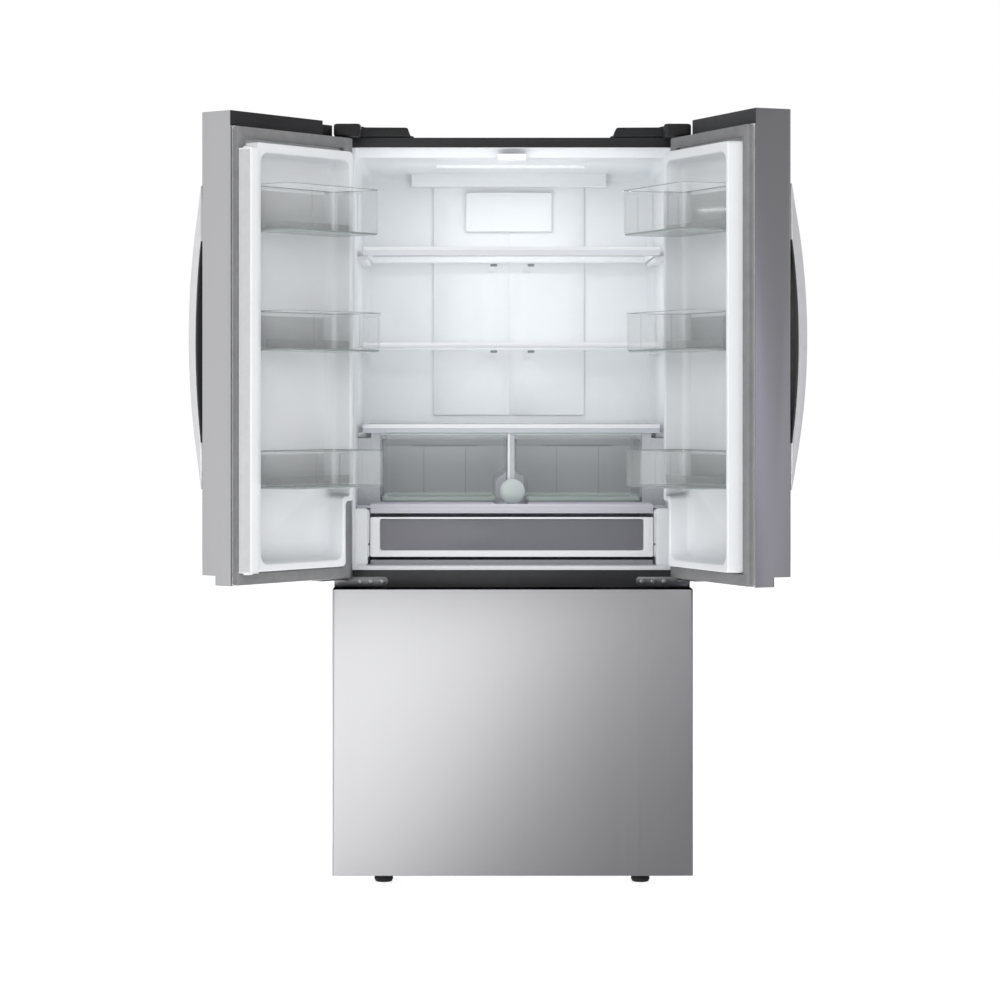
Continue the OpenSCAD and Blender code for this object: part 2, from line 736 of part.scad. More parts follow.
module freezer_basket() {
    w = inner_w - 30;
    color("white") {
        tray([-w + 4, -8, 122], [w - 4, basket_l, 470], 3);
        for (s = [-1, 1]) mirror([s < 0 ? 1 : 0, 0, 0])
            span([w - 4.1, 0, slide_low + 8], [w + 7.9, 316, slide_low + 26]);
    }
}

// shallow tray that slides back along the basket's rim
module freezer_tray() {
    w = inner_w - 34;
    color("white") {
        tray([-w + 8, -4, 440], [w - 8, 190, 520], 3);
        both_sides([w - 8.1, -4, 470.3], [w, 190, 474]);
    }
}

// ---- crispers and pantry drawer ----

// section of a crisper in X and Z, shrunk by t; a step in its inner side clears the pillar's foot
function crisper_section(t, top) = [[9 + t, top], [9 + t, 955 + t], [36 + t, 955 + t],
    [36 + t, crisper_low + 1 + t], [crisper_w - t, crisper_low + 1 + t], [crisper_w - t, top]];
module crisper() {
    color([0.85, 0.92, 0.9, 0.5]) {
        difference() {
            along_y(crisper_y, 500, crisper_section(0, crisper_top - 16));
            along_y(crisper_y + 3, 497, crisper_section(3, crisper_top));
        }
        span([9, crisper_y - 6, crisper_top - 30], [crisper_w, crisper_y + 2, crisper_top - 2]);
    }
}
module crisper_left() { mirror([1, 0, 0]) crisper(); }
module crisper_right() { crisper(); }

module pantry_drawer() {
    color("white") {
        tray([-pantry_w + 4, pantry_y + 8, pantry_low + 3], [pantry_w - 4, 505, pantry_high - 6], 3);
        difference() {
            upright_slab(-pantry_w, pantry_w, pantry_low, pantry_high, pantry_y, pantry_y + 8.1, 3);
            span([-pantry_w + 24, pantry_y - 1, pantry_low + 16],
                [pantry_w - 24, pantry_y + 10, pantry_high - 5]);
        }
    }
    color([0.85, 0.92, 0.9, 0.5])
        span([-pantry_w + 24, pantry_y + 3, pantry_low + 16],
            [pantry_w - 24, pantry_y + 8.1, pantry_high - 5]);
}

side_panel_left();
side_panel_right();
top_panel();
back_panel();
base_pan();
insulation_foam();
fresh_food_liner();
freezer_liner();
centre_mullion();
air_duct_panel();
led_lamp_cover();
mullion_guide();
shelf_frames();
shelf_glasses();
crisper_frame();
pantry_cover();
hinge_covers();
top_hinges();
middle_hinges();
compressor();
condenser();
machine_cover();
evaporator();
slide_rails();
cord_gland();
evaporator_fan();
condenser_fan();
front_foot_left();
front_foot_right();
rear_rollers();
left_door_skin();
left_door_core();
left_door_liner();
left_door_gasket();
left_door_caps();
left_handle();
left_bin_upper();
left_bin_middle();
left_bin_lower();
right_door_skin();
right_door_core();
right_door_liner();
right_door_gasket();
right_door_caps();
right_handle();
right_bin_upper();
right_bin_middle();
right_bin_lower();
flip_mullion();
drawer_skin();
drawer_core();
drawer_cap();
drawer_gasket();
drawer_runners();
slide_carriages();
freezer_basket();
freezer_tray();
crisper_left();
crisper_right();
pantry_drawer();
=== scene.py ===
import json
import math

import bmesh
import bpy
from mathutils import Matrix, Vector


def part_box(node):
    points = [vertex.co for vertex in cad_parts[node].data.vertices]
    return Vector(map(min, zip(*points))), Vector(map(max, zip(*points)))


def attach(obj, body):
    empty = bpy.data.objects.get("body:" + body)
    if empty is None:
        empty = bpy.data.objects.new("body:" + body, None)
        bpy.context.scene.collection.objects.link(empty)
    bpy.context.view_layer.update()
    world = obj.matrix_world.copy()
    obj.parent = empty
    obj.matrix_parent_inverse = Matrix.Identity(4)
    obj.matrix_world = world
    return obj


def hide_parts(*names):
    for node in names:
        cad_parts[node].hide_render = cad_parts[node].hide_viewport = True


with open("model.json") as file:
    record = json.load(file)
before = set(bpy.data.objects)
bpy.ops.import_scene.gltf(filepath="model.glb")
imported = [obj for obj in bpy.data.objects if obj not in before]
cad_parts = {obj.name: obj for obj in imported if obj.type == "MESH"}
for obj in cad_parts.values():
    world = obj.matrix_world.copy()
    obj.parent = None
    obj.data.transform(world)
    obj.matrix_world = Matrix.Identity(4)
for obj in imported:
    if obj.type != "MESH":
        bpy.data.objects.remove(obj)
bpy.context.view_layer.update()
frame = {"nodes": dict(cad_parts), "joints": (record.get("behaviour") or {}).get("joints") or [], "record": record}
MM = 0.001

# ---------------------------------------------------------------- camera, world and lights


def make_camera():
    """The photograph's view: level, a little to the left of the middle, from 6.9 m away."""
    data = bpy.data.cameras.new("camera")
    data.sensor_width = 36.0
    data.lens = 105.5
    data.shift_x, data.shift_y = 0.0327, -0.0959
    data.clip_end = 60
    camera = bpy.data.objects.new("camera", data)
    camera.location = (-0.1048, -6.860, 1.1173)
    camera.rotation_euler = (math.radians(90), 0, 0)
    bpy.context.scene.collection.objects.link(camera)
    bpy.context.scene.camera = camera


def make_world():
    """White behind the object. Reflections see a dim room with a bright left side."""
    world = bpy.data.worlds.new("studio")
    bpy.context.scene.world = world
    world.use_nodes = True
    tree = world.node_tree
    nodes, links = tree.nodes, tree.links
    nodes.clear()
    direction = nodes.new("ShaderNodeTexCoord")
    split = nodes.new("ShaderNodeSeparateXYZ")
    to_unit = nodes.new("ShaderNodeMapRange")
    to_unit.inputs["From Min"].default_value = -1
    links.new(direction.outputs["Generated"], split.inputs[0])
    links.new(split.outputs["X"], to_unit.inputs["Value"])
    ramp = nodes.new("ShaderNodeValToRGB")
    links.new(to_unit.outputs["Result"], ramp.inputs["Fac"])
    stops = ramp.color_ramp.elements
    stops[0].position, stops[0].color = 0.0, (0.78, 0.78, 0.78, 1)
    stops[1].position, stops[1].color = 1.0, (0.42, 0.42, 0.44, 1)
    for at, level in ((0.2, 0.62), (0.42, 0.22), (0.55, 0.10), (0.8, 0.2), (0.9, 0.3)):
        stops.new(at).color = (level, level, level * 1.06, 1)
    diffuse, mirrored_room, seen = (nodes.new("ShaderNodeBackground") for _ in range(3))
    diffuse.inputs["Color"].default_value = (1.0, 1.0, 1.0, 1)
    diffuse.inputs["Strength"].default_value = 0.42
    seen.inputs["Color"].default_value = (1, 1, 1, 1)
    links.new(ramp.outputs["Color"], mirrored_room.inputs["Color"])
    rays = nodes.new("ShaderNodeLightPath")
    if_glossy = nodes.new("ShaderNodeMixShader")
    if_camera = nodes.new("ShaderNodeMixShader")
    out = nodes.new("ShaderNodeOutputWorld")
    links.new(rays.outputs["Is Glossy Ray"], if_glossy.inputs[0])
    links.new(diffuse.outputs[0], if_glossy.inputs[1])
    links.new(mirrored_room.outputs[0], if_glossy.inputs[2])
    links.new(rays.outputs["Is Camera Ray"], if_camera.inputs[0])
    links.new(if_glossy.outputs[0], if_camera.inputs[1])
    links.new(seen.outputs[0], if_camera.inputs[2])
    links.new(if_camera.outputs[0], out.inputs["Surface"])


def area_light(name, at, target, size, power, colour=(1, 1, 1)):
    """A soft rectangular light that the camera doesn't see."""
    data = bpy.data.lights.new(name, "AREA")
    data.shape = "RECTANGLE"
    data.size, data.size_y = size
    data.energy = power
    data.color = colour
    lamp = bpy.data.objects.new(name, data)
    lamp.location = at
    lamp.rotation_mode = "QUATERNION"
    lamp.rotation_quaternion = (Vector(target) - Vector(at)).to_track_quat("-Z", "Y")
    lamp.visible_camera = False
    bpy.context.scene.collection.objects.link(lamp)
    return lamp


def make_lights():
    """Big soft lights for the white plastic, and near ones that shade the steel from left to right."""
    fill = area_light("front_fill", (-0.8, -5.5, 2.9), (0, 0, 1.0), (3.0, 2.0), 55)
    top = area_light("top_fill", (0, -1.6, 3.6), (0, 0, 0.6), (2.6, 1.6), 22)
    area_light("back_fill", (1.6, 3.6, 2.6), (0, 0.3, 0.9), (2.4, 2.4), 55)
    fill.visible_glossy = top.visible_glossy = False
    steel = area_light("steel_key", (-0.67, -1.75, -0.52), (-0.01, -0.1, -0.52), (1.3, 3.7), 19.4)
    steel.visible_diffuse = False
    violet = area_light("steel_low_right", (1.5, -1.6, 0.75), (0.5, -0.1, 0.8), (0.6, 1.0), 1.3,
                        (0.78, 0.72, 1))
    violet.visible_diffuse = False
    inside = area_light("cavity_lamp", (0, 0.275, 1.688), (0, 0.20, 1.0), (0.34, 0.02), 0.7,
                        (0.98, 0.99, 1))
    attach(inside, "cabinet")
    for name, z, height, power in (("upper", 1.60, 0.12, 0.12), ("middle", 1.36, 0.14, 0.30),
                                   ("lower", 1.16, 0.12, 0.34), ("crisper", 0.97, 0.08, 0.30)):
        glow = area_light(f"{name}_glow", (0, 0.17, z), (0, 0.5, z), (0.62, height), power,
                          (0.97, 0.985, 1))
        glow.visible_glossy = False
        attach(glow, "cabinet")


def make_front_glows():
    """Soft light on the ceiling's front step, and on the white parts low at the compartment's front."""
    for name, at, target, size, power in (
            ("ceiling_step_glow", (0, -0.06, 1.62), (0, 0.05, 1.72), (0.66, 0.05), 0.15),
            ("low_front_glow", (0, -0.36, 0.80), (0, 0.05, 0.80), (0.62, 0.14), 0.25)):
        glow = area_light(name, at, target, size, power)
        glow.visible_glossy = False
        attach(glow, "cabinet")


def make_floor():
    """Pale floor that lights the object a little and melts into the white behind it."""
    mesh = bpy.data.meshes.new("floor")
    half = 14.0
    mesh.from_pydata([(-half, -half, 0), (half, -half, 0), (half, half, 0), (-half, half, 0)], [],
                     [(0, 1, 2, 3)])
    floor = bpy.data.objects.new("floor", mesh)
    bpy.context.scene.collection.objects.link(floor)
    shade = Shade("pale_floor")
    shade.set("Base Color", (0.9, 0.9, 0.9, 1))
    shade.set("Roughness", 0.7)
    shade.set("Specular IOR Level", 0.2)
    shade.set("Emission Color", (1, 1, 1, 1))
    shade.set("Emission Strength", 0.8)
    mesh.materials.append(shade.material)
    floor.visible_glossy = floor.visible_shadow = False


# ---------------------------------------------------------------- materials


class Shade:
    """A Principled material with short ways to add procedural detail."""

    def __init__(self, name):
        self.material = bpy.data.materials.new(name)
        self.material.use_nodes = True
        self.tree = self.material.node_tree
        self.nodes, self.links = self.tree.nodes, self.tree.links
        self.bsdf = self.nodes["Principled BSDF"]
        self.bump = None

    def set(self, socket, value):
        self.bsdf.inputs[socket].default_value = value

    def coords(self, scale):
        where = self.nodes.new("ShaderNodeTexCoord")
        mapping = self.nodes.new("ShaderNodeMapping")
        mapping.inputs["Scale"].default_value = scale
        self.links.new(where.outputs["Object"], mapping.inputs["Vector"])
        return mapping.outputs["Vector"]

    def noise(self, scale, detail=4.0, roughness=0.6, stretch=(1, 1, 1)):
        node = self.nodes.new("ShaderNodeTexNoise")
        node.inputs["Scale"].default_value = scale
        node.inputs["Detail"].default_value = detail
        node.inputs["Roughness"].default_value = roughness
        self.links.new(self.coords(stretch), node.inputs["Vector"])
        return node.outputs["Fac"]

    def cells(self, scale, output="Color"):
        node = self.nodes.new("ShaderNodeTexVoronoi")
        node.inputs["Scale"].default_value = scale
        self.links.new(self.coords((1, 1, 1)), node.inputs["Vector"])
        return node.outputs[output]

    def spread(self, source, low, high, from_low=0.3, from_high=0.7):
        node = self.nodes.new("ShaderNodeMapRange")
        node.inputs["From Min"].default_value = from_low
        node.inputs["From Max"].default_value = from_high
        node.inputs["To Min"].default_value = low
        node.inputs["To Max"].default_value = high
        self.links.new(source, node.inputs["Value"])
        return node.outputs["Result"]

    def times(self, a, b):
        node = self.nodes.new("ShaderNodeMath")
        node.operation = "MULTIPLY"
        self.links.new(a, node.inputs[0])
        self.links.new(b, node.inputs[1])
        return node.outputs[0]

    def colour(self, source, first, second, from_low=0.3, from_high=0.7):
        """Base colour from first to second, as source goes from low to high."""
        node = self.nodes.new("ShaderNodeValToRGB")
        stops = node.color_ramp.elements
        stops[0].position, stops[0].color = from_low, (*first, 1)
        stops[1].position, stops[1].color = from_high, (*second, 1)
        self.links.new(source, node.inputs["Fac"])
        self.links.new(node.outputs["Color"], self.bsdf.inputs["Base Color"])

    def rough(self, source, low, high, from_low=0.3, from_high=0.7):
        value = self.spread(source, low, high, from_low, from_high)
        self.links.new(value, self.bsdf.inputs["Roughness"])

    def relief(self, source, depth):
        """Adds a bump of that depth in metres on top of the ones before it."""
        node = self.nodes.new("ShaderNodeBump")
        node.inputs["Distance"].default_value = depth
        self.links.new(source, node.inputs["Height"])
        if self.bump is not None:
            self.links.new(self.bump, node.inputs["Normal"])
        self.bump = node.outputs["Normal"]
        self.links.new(self.bump, self.bsdf.inputs["Normal"])


def brushed_steel(name, tint, rough):
    """Stainless sheet with a fine upright grain, faint mottling and a clear film."""
    stretch = (1, 1, 0.004)
    s = Shade(name)
    grain = s.noise(2600, 3.0, 0.75, stretch)
    streaks = s.noise(240, 4.0, 0.7, stretch)
    cloud = s.noise(3.2, 3.0, 0.5)
    s.set("Metallic", 1.0)
    s.set("Anisotropic", 0.25)
    s.set("Coat Weight", 0.08)
    s.set("Coat Roughness", 0.18)
    s.colour(streaks, tuple(c * 0.985 for c in tint), tint)
    s.rough(s.times(streaks, s.spread(cloud, 0.94, 1.06)), rough - 0.015, rough + 0.02)
    s.relief(grain, 0.000012)
    return s.material


def painted_metal(name, tint, rough):
    """Sprayed enamel: orange peel and slight unevenness."""
    s = Shade(name)
    s.colour(s.noise(11, 3.0), tuple(c * 0.88 for c in tint), tint)
    s.rough(s.noise(60, 4.0), rough - 0.05, rough + 0.08)
    s.set("Coat Weight", 0.15)
    s.set("Coat Roughness", 0.2)
    s.relief(s.noise(520, 2.0), 0.00008)
    return s.material


def galvanised(name):
    """Zinc-coated sheet with its crystal spangle."""
    s = Shade(name)
    spangle = s.cells(130)
    grey = s.nodes.new("ShaderNodeRGBToBW")
    s.links.new(spangle, grey.inputs[0])
    s.set("Metallic", 0.85)
    s.colour(grey.outputs[0], (0.46, 0.47, 0.48), (0.55, 0.56, 0.57), 0.15, 0.85)
    s.rough(grey.outputs[0], 0.42, 0.56, 0.1, 0.9)
    s.relief(s.noise(900, 3.0), 0.00002)
    return s.material


def moulded_plastic(name, tint, rough, grain=0.00003, scale=900, sheen=0.97):
    """Injection-moulded plastic: a fine pebble, soft sink marks and handling haze."""
    s = Shade(name)
    s.colour(s.noise(5.5, 3.0), tuple(c * sheen for c in tint), tint)
    s.rough(s.noise(38, 4.0), rough - 0.02, rough + 0.04)
    s.set("IOR", 1.5)
    s.relief(s.noise(scale, 3.0), grain)
    return s.material


def clear_plastic(name, tint, alpha, rough=0.06):
    """Clear polystyrene: mostly seen through, denser at grazing angles, with faint scuffs."""
    s = Shade(name)
    facing = s.nodes.new("ShaderNodeLayerWeight")
    facing.inputs["Blend"].default_value = 0.35
    s.set("Base Color", (*tint, 1))
    s.set("IOR", 1.55)
    density = s.spread(facing.outputs["Facing"], alpha, min(1.0, alpha + 0.4), 0.2, 1.0)
    s.links.new(density, s.bsdf.inputs["Alpha"])
    s.rough(s.noise(46, 5.0, 0.7, (1, 1, 0.4)), rough, rough + 0.08)
    s.relief(s.noise(30, 2.0), 0.00004)
    return s.material


def rubber(name, tint, rough):
    """Matte rubber with fine mould texture and dust-like variation."""
    s = Shade(name)
    s.colour(s.noise(24, 5.0), tuple(c * 0.82 for c in tint), tint)
    s.rough(s.noise(180, 3.0), rough - 0.06, rough + 0.08)
    s.set("Specular IOR Level", 0.35)
    s.relief(s.noise(1400, 3.0), 0.00004)
    return s.material


def polished_metal(name, tint, rough, metallic=1.0):
    """Plated or cast metal with faint machining marks."""
    s = Shade(name)
    s.set("Metallic", metallic)
    s.colour(s.noise(40, 4.0), tuple(c * 0.94 for c in tint), tint)
    s.rough(s.noise(220, 4.0, 0.7, (1, 0.2, 1)), rough - 0.05, rough + 0.07)
    s.relief(s.noise(1100, 3.0), 0.00002)
    return s.material


def insulation_foam(name):
    """Yellowish rigid foam with open cells."""
    s = Shade(name)
    s.colour(s.noise(70, 5.0), (0.62, 0.50, 0.24), (0.78, 0.68, 0.40))
    s.set("Roughness", 0.9)
    s.relief(s.cells(420, output="Distance"), 0.0004)
    return s.material


def lamp_diffuser(name):
    """Opal strip over the diodes, brighter over each of them."""
    s = Shade(name)
    s.set("Base Color", (0.92, 0.93, 0.94, 1))
    s.set("Roughness", 0.3)
    s.set("Emission Color", (0.97, 0.99, 1.0, 1))
    wave = s.nodes.new("ShaderNodeTexWave")
    wave.bands_direction = "X"
    wave.inputs["Scale"].default_value = 9.0
    s.links.new(s.coords((1, 1, 1)), wave.inputs["Vector"])
    s.links.new(s.spread(wave.outputs["Fac"], 0.03, 0.09, 0, 1), s.bsdf.inputs["Emission Strength"])
    return s.material


MATERIALS = {
    "case_paint": painted_metal("charcoal_enamel", (0.024, 0.024, 0.026), 0.45),
    "galvanised": galvanised("galvanised_sheet"),
    "stainless": brushed_steel("brushed_stainless", (0.66, 0.66, 0.665), 0.40),
    "insulation": insulation_foam("polyurethane_foam"),
    "inner_panel": moulded_plastic("inner_panel_white", (0.80, 0.81, 0.83), 0.4),
    "white_liner": moulded_plastic("liner_white", (0.86, 0.875, 0.895), 0.33, 0.00002),
    "white_trim": moulded_plastic("trim_white", (0.88, 0.89, 0.91), 0.3, 0.00002),
    "lamp_diffuser": lamp_diffuser("opal_diffuser"),
    "shelf_glass": clear_plastic("tempered_glass", (0.78, 0.86, 0.84), 0.12, 0.03),
    "clear_plastic": clear_plastic("clear_polystyrene", (0.72, 0.75, 0.76), 0.05),
    "frosted_plastic": clear_plastic("frosted_polystyrene", (0.71, 0.71, 0.78), 0.7, 0.3),
    "charcoal_plastic": moulded_plastic("charcoal_abs", (0.020, 0.020, 0.021), 0.5, 0.00006, 700, 0.85),
    "zinc_steel": polished_metal("zinc_plate", (0.62, 0.62, 0.63), 0.34),
    "black_enamel": painted_metal("black_enamel", (0.012, 0.012, 0.013), 0.3),
    "coil_aluminium": polished_metal("bare_aluminium", (0.72, 0.73, 0.74), 0.36),
    "black_rubber": rubber("black_rubber", (0.018, 0.018, 0.018), 0.62),
    "fan_plastic": moulded_plastic("fan_polymer", (0.52, 0.52, 0.50), 0.48),
    "gasket_rubber": rubber("gasket_grey", (0.262, 0.262, 0.265), 0.6),
    "mullion_metal": polished_metal("mullion_aluminium", (0.80, 0.80, 0.81), 0.44, 0.8),
}
SLOT_OF = {row["node"]: row["material_slot"] for row in frame["record"]["subparts"]}

# Finishes that differ from the usual one of their slot; several of them are painted shade.
BIN_EDGE = clear_plastic("thick_plastic_edge", (0.36, 0.40, 0.39), 0.55, 0.08)
BIN_FLOOR = clear_plastic("bin_floor", (0.27, 0.30, 0.30), 0.46, 0.12)
CRISPER_EDGE = clear_plastic("pale_green_edge", (0.60, 0.69, 0.65), 0.75, 0.12)
PEARL = clear_plastic("pearl_plastic", (0.80, 0.87, 0.85), 0.72, 0.2)
# Dark tint on the pantry drawer's window: painted shade of the drawer's inside.
WINDOW_SHADE_TINT = clear_plastic("pantry_window_painted_shade", (0.16, 0.16, 0.18), 0.32, 0.08)
# Mid grey: on the strip at the front of the compartment's floor it is painted shade; it also colours the duct's
# outlets.
SHADE_AND_OUTLET_GREY = moulded_plastic("shade_and_outlet_grey", (0.30, 0.30, 0.33), 0.4)
# Darker copy of the white trim for the band over the crispers: painted shade.
CRISPER_BAND_SHADE = moulded_plastic("crisper_band_painted_shade", (0.58, 0.60, 0.65), 0.35)
# Greyer copy of the white trim for the bands under the shelves' noses: painted shade.
SHELF_BAND_SHADE = moulded_plastic("shelf_band_painted_shade", (0.76, 0.77, 0.81), 0.35)
# Near-black piece in each handle's finger gap: painted shade of the gap.
HANDLE_GAP_SHADE = moulded_plastic("handle_gap_painted_shade", (0.04, 0.04, 0.041), 0.45, 0.00006, 700, 0.85)
HANDLE_STEEL = polished_metal("handle_steel", (0.83, 0.83, 0.835), 0.34, 0.6)
CAD_FINISHES = {
    "middle_hinges": polished_metal("phosphated_steel", (0.36, 0.36, 0.365), 0.42),
    "crisper_frame": clear_plastic("crisper_frame_grey", (0.62, 0.65, 0.67), 0.82, 0.25),
}

# ---------------------------------------------------------------- mesh helpers


def arc(cx, cy, r, start, end, steps=6):
    """Points on a circle's arc, from one angle to the other in degrees."""
    angles = [math.radians(start + (end - start) * i / steps) for i in range(steps + 1)]
    return [(cx + r * math.cos(a), cy + r * math.sin(a)) for a in angles]


def rounded(x0, x1, y0, y1, r, steps=6):
    """Rounded rectangle, anticlockwise, always with the same number of points."""
    r = max(r, 1e-4)
    return (arc(x1 - r, y0 + r, r, -90, 0, steps) + arc(x1 - r, y1 - r, r, 0, 90, steps)
            + arc(x0 + r, y1 - r, r, 90, 180, steps) + arc(x0 + r, y0 + r, r, 180, 270, steps))


def placed(points, level, axis):
    """Outline points in a plane, at that level along the axis, as points in space."""
    if axis == "z":
        return [(a, b, level) for a, b in points]
    if axis == "y":
        return [(a, level, b) for a, b in points]
    return [(level, a, b) for a, b in points]


def loft(rings, loop=False):
    """Mesh data through rings of equally many points, capped unless the last one joins the first."""
    count = len(rings[0])
    points = [p for row in rings for p in row]
    faces = []
    for k in range(len(rings) if loop else len(rings) - 1):
        a, b = k * count, ((k + 1) % len(rings)) * count
        for i in range(count):
            j = (i + 1) % count
            faces.append((a + i, a + j, b + j, b + i))
    if not loop:
        faces.append(tuple(range(count)))
        faces.append(tuple(range(len(points) - count, len(points))))
    return points, faces


def quarter(steps=5):
    """Angles of a quarter turn, in radians."""
    return [math.radians(90 * i / steps) for i in range(steps + 1)]


def solid(outline, low, high, edge=1.0, axis="z", steps=3):
    """Extrusion with rounded rims. outline(i) gives the outline shrunk by i millimetres."""
    rims = [(edge * (1 - math.sin(a)), edge * (1 - math.cos(a))) for a in quarter(steps)]
    rings = [placed(outline(inset), low + rise, axis) for inset, rise in rims]
    rings += [placed(outline(inset), high - rise, axis) for inset, rise in reversed(rims)]
    return loft(rings)


def vessel(outline, low, high, wall, base, radius=8.0, lip=0.0, lip_h=0.0, steps=5, stations=()):
    """Open tray or bin with rounded floor edges, an optional outer lip and a rounded rim.

    outline(inset, z) gives its plan; stations are extra heights where the plan changes.
    """
    rings = [(radius * (1 - math.sin(a)), low + radius * (1 - math.cos(a))) for a in quarter(steps)]
    rings += [(0.0, z) for z in stations]
    if lip:
        rings += [(0.0, high - lip_h), (-lip, high - lip_h + 0.6 * lip)]
    r = wall / 2
    rings += [(-lip, high - r), (-lip + 0.3 * r, high - 0.3 * r), (-lip + r, high)]
    rings += [(wall - 0.3 * r, high - 0.1 * r), (wall, high - r)]
    rings += [(wall, z) for z in reversed(stations)]
    inner = max(radius - wall, 1.0)
    rings += [(wall + inner * (1 - math.sin(a)), low + base + inner * (1 - math.cos(a)))
              for a in reversed(quarter(steps))]
    return loft([placed(outline(inset, z), z, "z") for inset, z in rings])


def box_mesh(x0, x1, y0, y1, z0, z1, edge=1.0, corner=2.0, axis="z"):
    """Block with rounded edges: outline across the other two axes, rims along axis."""
    if axis == "z":
        return solid(lambda i: rounded(x0 + i, x1 - i, y0 + i, y1 - i, corner - i), z0, z1, edge, "z")
    if axis == "y":
        return solid(lambda i: rounded(x0 + i, x1 - i, z0 + i, z1 - i, corner - i), y0, y1, edge, "y")
    return solid(lambda i: rounded(y0 + i, y1 - i, z0 + i, z1 - i, corner - i), x0, x1, edge, "x")


def join(*parts):
    """Several pieces of mesh data as one."""
    points, faces = [], []
    for p, f in parts:
        base = len(points)
        points += p
        faces += [tuple(i + base for i in face) for face in f]
    return points, faces


def mirrored(part):
    points, faces = part
    return [(-x, y, z) for x, y, z in points], faces


def both(part):
    """A part together with its mirror image."""
    return join(part, mirrored(part))


def turned(profile, at, axis, steps=32):
    """Turned part: profile is (radius, height) pairs from end to end, in millimetres."""
    rings = []
    for r, h in profile:
        ring = []
        for i in range(steps):
            a = 2 * math.pi * i / steps
            u, v = r * math.cos(a), r * math.sin(a)
            p = {"z": (u, v, h), "y": (u, h, v), "x": (h, u, v)}[axis]
            ring.append(tuple(c + o for c, o in zip(p, at)))
        rings.append(ring)
    return loft(rings)


def piece(name, part, body, slot, matrix=None, material=None, replaces=(), smooth=35):
    """Makes a shown object of mesh data in millimetres, and says what it rides on."""
    points, faces = part
    mesh = bpy.data.meshes.new(name)
    mesh.from_pydata(points, [], faces)
    if matrix is not None:
        mesh.transform(matrix)
    mesh.transform(Matrix.Scale(MM, 4))
    bm = bmesh.new()
    bm.from_mesh(mesh)
    bmesh.ops.remove_doubles(bm, verts=bm.verts, dist=1e-6)
    bmesh.ops.recalc_face_normals(bm, faces=bm.faces)
    for edge in bm.edges:
        edge.smooth = len(edge.link_faces) != 2 or edge.calc_face_angle() < math.radians(smooth)
    for face in bm.faces:
        face.smooth = True
    bm.to_mesh(mesh)
    bm.free()
    mesh.materials.append(material or MATERIALS[slot])
    obj = bpy.data.objects.new(name, mesh)
    bpy.context.scene.collection.objects.link(obj)
    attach(obj, body)
    if replaces:
        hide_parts(*replaces)
    return obj


def finish_cad(name):
    """Keeps a CAD node: gives it its material, and eases its edges with modifiers."""
    obj = frame["nodes"][name]
    slot = SLOT_OF[name]
    obj.data.materials.clear()
    obj.data.materials.append(CAD_FINISHES.get(name, MATERIALS[slot]))
    for polygon in obj.data.polygons:
        polygon.material_index = 0
        polygon.use_smooth = True
    weld = obj.modifiers.new("weld", "WELD")
    weld.merge_threshold = 0.00001
    flat = obj.modifiers.new("dissolve", "DECIMATE")
    flat.decimate_type = "DISSOLVE"
    flat.angle_limit = math.radians(0.04)
    ease = obj.modifiers.new("bevel", "BEVEL")
    ease.width = 0.8 * MM
    ease.segments = 2
    ease.limit_method = "ANGLE"
    ease.angle_limit = math.radians(32)
    ease.use_clamp_overlap = True
    ease.harden_normals = True


# ---------------------------------------------------------------- the doors' own frame

PIN_IN, PIN_OUT = 15.0, 25.0          # hinge pin from a door's hinge edge and inner face
DOOR_T = 90.0                         # thickness at a door's edges; its front bulges a little further
JOINT = {j["name"]: j for j in frame["joints"]}


def door_matrix(side):
    """From a shut left door's own frame, in millimetres, to that door as it stands open."""
    joint = JOINT[f"{side}_door_hinge"]
    sign = -1 if side == "left" else 1
    pin = Vector(joint["pos_m"]) / MM
    opened = math.radians(-joint["range_deg"][0]) * sign
    flip = Matrix.Diagonal((1 if side == "left" else -1, 1, 1, 1))
    return (Matrix.Translation((pin.x, pin.y, 0)) @ Matrix.Rotation(opened, 4, "Z")
            @ flip @ Matrix.Translation((-PIN_IN, PIN_OUT, 0)))


DOOR = {side: door_matrix(side) for side in ("left", "right")}


def local_box(node, side):
    """Corners of a CAD node in its door's own frame, in millimetres."""
    back = DOOR[side].inverted()
    points = [back @ (v.co / MM) for v in frame["nodes"][node].data.vertices]
    low = Vector([min(p[k] for p in points) for k in range(3)])
    high = Vector([max(p[k] for p in points) for k in range(3)])
    return low, high


def box_mm(node):
    """Corners of a CAD node in the shared frame, in millimetres."""
    low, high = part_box(node)
    return low / MM, high / MM


# ---------------------------------------------------------------- doors


def ring(rect, inset, r, level):
    """One upright rounded rectangle, shrunk by inset; rect is (x0, x1, z0, z1)."""
    x0, x1, z0, z1 = rect
    return placed(rounded(x0 + inset, x1 - inset, z0 + inset, z1 - inset, r, 8), level, "y")


def frame_sweep(rect, r, profile):
    """Sweeps a closed (inset, level) profile round a rounded rectangle."""
    return loft([ring(rect, inset, max(r - inset, 1.5), level) for inset, level in profile], loop=True)


LINER_PLATE = (6.1, 407.9, 713.7, 1735)      # white inner panel of a door: x and z
DYKE = (53, 380, 744, 1699)                  # raised frame on it, outside
DYKE_INSIDE = (66, 367, 762, 1675)           # and inside, where the recess begins
DYKE_H = 50
STEP_IN, STEP_TOP = 25, 894                  # low down its hinge side steps in, by this and up to this height


def dyke_ring(rect, inset, r, level):
    """Outline of the raised frame in x and z, with the step in its hinge side."""
    x0, x1, z0, z1 = rect
    z_step = STEP_TOP + x0 - DYKE[0]
    outline = (corner(x0 + STEP_IN, z0, 1, 1, r, 180, inset, 8) + corner(x1, z0, -1, 1, r, 270, inset, 8)
               + corner(x1, z1, -1, -1, r, 0, inset, 8) + corner(x0, z1, 1, -1, r, 90, inset, 8)
               + corner(x0, z_step, 1, 1, 8, 180, inset, 8)
               + arc(x0 + STEP_IN - 10, z_step - 10, 10 + inset, 90, 0, 8))
    return placed(outline, level, "y")


